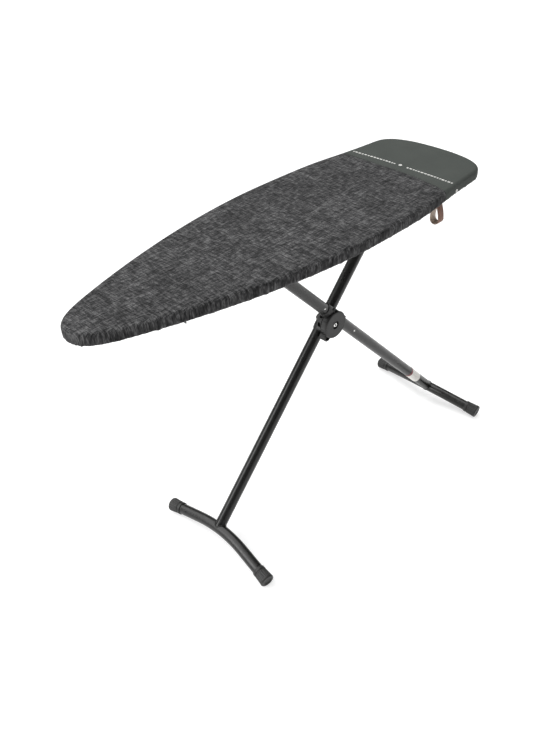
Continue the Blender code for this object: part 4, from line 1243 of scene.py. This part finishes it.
def make_loop():
    """A stitched strap of leather that hangs over the lever: brown outside, pale inside."""
    low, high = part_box("leather_loop")
    x = (low.x + high.x) / 2
    half = LOOP_WIDTH / 2
    crown = 0.0005
    layers = (
        ("leather_strap", 0.0011, LOOP_THICKNESS, LEATHER),
        ("leather_strap_lining", 0.0, 0.00115, SUEDE),
    )
    for name, inner, outer, material in layers:
        section = [(-half + 0.0006, inner), (-half, inner + 0.0004), (-half, outer - 0.0005)]
        section += [(-half + 0.0008, outer), (0.0, outer + crown * (material is LEATHER))]
        section += [(half - 0.0008, outer)]
        section += [(half, outer - 0.0005), (half, inner + 0.0004), (half - 0.0006, inner)]
        lines = [loop_line(offset) for _, offset in section]
        count = len(lines[0])
        points = []
        for k in range(count):
            for (across, _), line in zip(section, lines):
                points.append((x + across, LOOP_Y + line[k][0], LOOP_Z + line[k][1]))
        obj = mesh_object(name, points, ring_faces(count, len(section), True), material)
        smooth(face_outwards(obj), 50)
        replaced = ["leather_loop"] if material is LEATHER else []
        settle(obj, "release", "leather", *replaced)
    line = loop_line(LOOP_THICKNESS + 0.0001)
    places = []
    travel, spacing = 0.0, 0.0048
    for (y0, z0), (y1, z1) in zip(line, line[1:]):
        step = math.hypot(y1 - y0, z1 - z0)
        travel += step
        if travel >= spacing and z0 < -0.008:
            travel = 0.0
            for side in (-1, 1):
                stitch = (x + side * (half - 0.0028), LOOP_Y + y0, LOOP_Z + z0)
                places.append((stitch, (0.0, y1 - y0, z1 - z0)))
    stitches = capsule_row("leather_strap_stitches", places, 0.0032, 0.0004, PALE_THREAD)
    settle(stitches, "release", "leather")


# --- The rest of the frame's own pieces --------------------------------------------------------------------
def dress_frame():
    """Gives each CAD piece that still shows its finish, smooth shading and rounded edges."""
    looks = {
        BLACK_PAINT: ("hinge_tube",),
        BLACK_PLASTIC: ("front_leg_plug", "rear_leg_plug", "hinge_cap_left", "hinge_cap_right"),
        ZINC: ("rear_leg_axle", "catch_pin"),
        BRIGHT_STEEL: ("pivot_spacer",),
    }
    plates = {
        BLACK_PAINT: (
            "cross_brace_front", "cross_brace_middle", "cross_brace_rear", "hinge_mount_plate",
            "hinge_bracket_left", "hinge_bracket_right",
            "rod_guide_front", "rod_guide_middle", "rod_guide_rear",
        ),
        ZINC: (
            "slide_rail_left", "slide_rail_right", "height_rack",
            "carriage_plate", "catch_plate", "release_blade",
        ),
        GREY_PLASTIC: ("slide_shoe_left", "slide_shoe_right"),
    }
    for group, width in ((looks, 0.0), (plates, 0.0005)):
        for material, names in group.items():
            for name in names:
                obj = frame["nodes"][name]
                for place in obj.material_slots:
                    place.material = material
                smooth(obj)
                if width:
                    round_edges(obj, width, 2)


def make_fasteners():
    """The rivets and spot welds that hold the rails, braces and mount under the panel."""
    dome = [(0.0, 0.0016), (0.0012, 0.0015), (0.0023, 0.0010), (0.0030, 0.0003)]
    dome += [(0.0031, -0.0004), (0.0, -0.0004)]
    places = []
    for node in ("slide_rail_left", "slide_rail_right"):
        low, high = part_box(node)
        side = 1 if low.y > 0 else -1
        y = side * (max(abs(low.y), abs(high.y)) - 0.0100)
        for k in range(5):
            x = low.x + 0.018 + (high.x - low.x - 0.036) * k / 4
            places.append((x, y, high.z - 0.0015))
    for node in ("cross_brace_front", "cross_brace_middle", "cross_brace_rear"):
        low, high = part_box(node)
        for share in (0.04, 0.96):
            places.append(((low.x + high.x) / 2, low.y + (high.y - low.y) * share, low.z))
    low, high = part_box("hinge_mount_plate")
    for x in (low.x + 0.008, high.x - 0.008):
        for y in (-0.045, 0.0, 0.045):
            places.append((x, y, low.z))
    parts = [turned(f"rivet_{k}", dome, axis_place(at, (0, 0, -1)), ZINC, 20) for k, at in enumerate(places)]
    settle(join_all("panel_rivets", parts), "board", "zinc")


# --- The studio --------------------------------------------------------------------------------------------
def make_floor():
    """A white sweep that glows a little, so that only soft shadows show on it."""
    mesh = bpy.data.meshes.new("studio_floor")
    reach = 14.0
    corners = [(-reach, -reach, 0), (reach, -reach, 0), (reach, reach, 0), (-reach, reach, 0)]
    mesh.from_pydata(corners, [], [(0, 1, 2, 3)])
    glow = {"Emission Color": (1.0, 1.0, 1.0, 1.0), "Emission Strength": 0.58}
    look = Look("pale_floor", 0.9, uniform=glow)
    look.feed(look.shader, "Specular IOR Level", 0.0)
    look.colour(look.ramp(look.grain((3, 3, 3)), [(0.3, grey(0.55)), (0.7, grey(0.56))]))
    mesh.materials.append(look.material)
    floor = link_object("studio_floor", mesh)
    return floor


def area_light(name, place, aim, size, power):
    data = bpy.data.lights.new(name, "AREA")
    data.energy = power
    data.shape = "RECTANGLE"
    data.size, data.size_y = size
    turn = (Vector(aim) - Vector(place)).to_track_quat("-Z", "Y").to_matrix().to_4x4()
    obj = link_object(name, data)
    obj.matrix_world = Matrix.Translation(place) @ turn
    return obj


def make_world():
    world = bpy.data.worlds.new("studio")
    bpy.context.scene.world = world
    world.use_nodes = True
    tree = world.node_tree
    place = tree.nodes.new("ShaderNodeTexCoord")
    parts = tree.nodes.new("ShaderNodeSeparateXYZ")
    ramp = tree.nodes.new("ShaderNodeValToRGB")
    ramp.color_ramp.elements[0].position = 0.0
    ramp.color_ramp.elements[0].color = (0.10, 0.10, 0.10, 1)
    ramp.color_ramp.elements[1].position = 0.9
    ramp.color_ramp.elements[1].color = (0.50, 0.50, 0.50, 1)
    tree.links.new(place.outputs["Generated"], parts.inputs[0])
    tree.links.new(parts.outputs["Z"], ramp.inputs[0])
    tree.links.new(ramp.outputs[0], tree.nodes["Background"].inputs["Color"])
    tree.nodes["Background"].inputs["Strength"].default_value = 0.6


def make_lights():
    """A broad even light from above, and a softbox on the far side of the nose."""
    data = bpy.data.lights.new("sky", "SUN")
    data.energy = 3.6
    data.angle = math.radians(80)
    sun = link_object("sky", data)
    sun.matrix_world = Vector((-0.15, 0.30, 1.0)).to_track_quat("Z", "Y").to_matrix().to_4x4()
    area_light("softbox", (-2.3, 1.0, 1.4), (0.0, 0.0, 0.5), (0.9, 1.6), 26)


def make_camera():
    """A camera at standing height in front of the nose's left, looking down at the board."""
    place = Vector((-1.3497, -1.412, 1.9543))
    forwards = Vector((0.5333, 0.5979, -0.5984)).normalized()
    roll = -0.0636
    level = forwards.cross(Vector((0, 0, 1))).normalized()
    upright = level.cross(forwards)
    right = level * math.cos(roll) + upright * math.sin(roll)
    up = upright * math.cos(roll) - level * math.sin(roll)
    data = bpy.data.cameras.new("camera")
    data.sensor_width = 36.0
    data.lens = 39.51
    data.clip_start = 0.05
    data.clip_end = 60.0
    camera = link_object("camera", data)
    turn = Matrix((right, up, -forwards)).transposed().to_4x4()
    camera.matrix_world = Matrix.Translation(place) @ turn
    bpy.context.scene.camera = camera


make_pad()
make_rim_tube()
make_panel()
build_cover()
for name, up, side in (("front", UP_FRONT, 1), ("rear", UP_REAR, -1)):
    make_foot_caps(name, up, f"{name}_leg")
    make_foot_bar(name, up, f"{name}_leg")
    make_leg_tube(name, up, side * LEG_SIDE_Y, f"{name}_leg")
    make_foot_weld(name, up, side * LEG_SIDE_Y, f"{name}_leg")
make_label()
make_rivets()
make_hub_barrel()
make_sleeve("pivot_sleeve_rear", UP_REAR, -1, 0.050, 0.060, "rear_leg")
make_sleeve("pivot_sleeve_front", UP_FRONT, 1, 0.038, 0.036, "front_leg")
make_shoulder()
make_stop_lobe()
make_cover_disc()
make_bolt()
make_front_boss()
make_release_rod()
make_spring()
make_loop()
dress_frame()
make_fasteners()
make_floor()
make_world()
make_lights()
make_camera()
bpy.context.scene.view_settings.view_transform = "Standard"
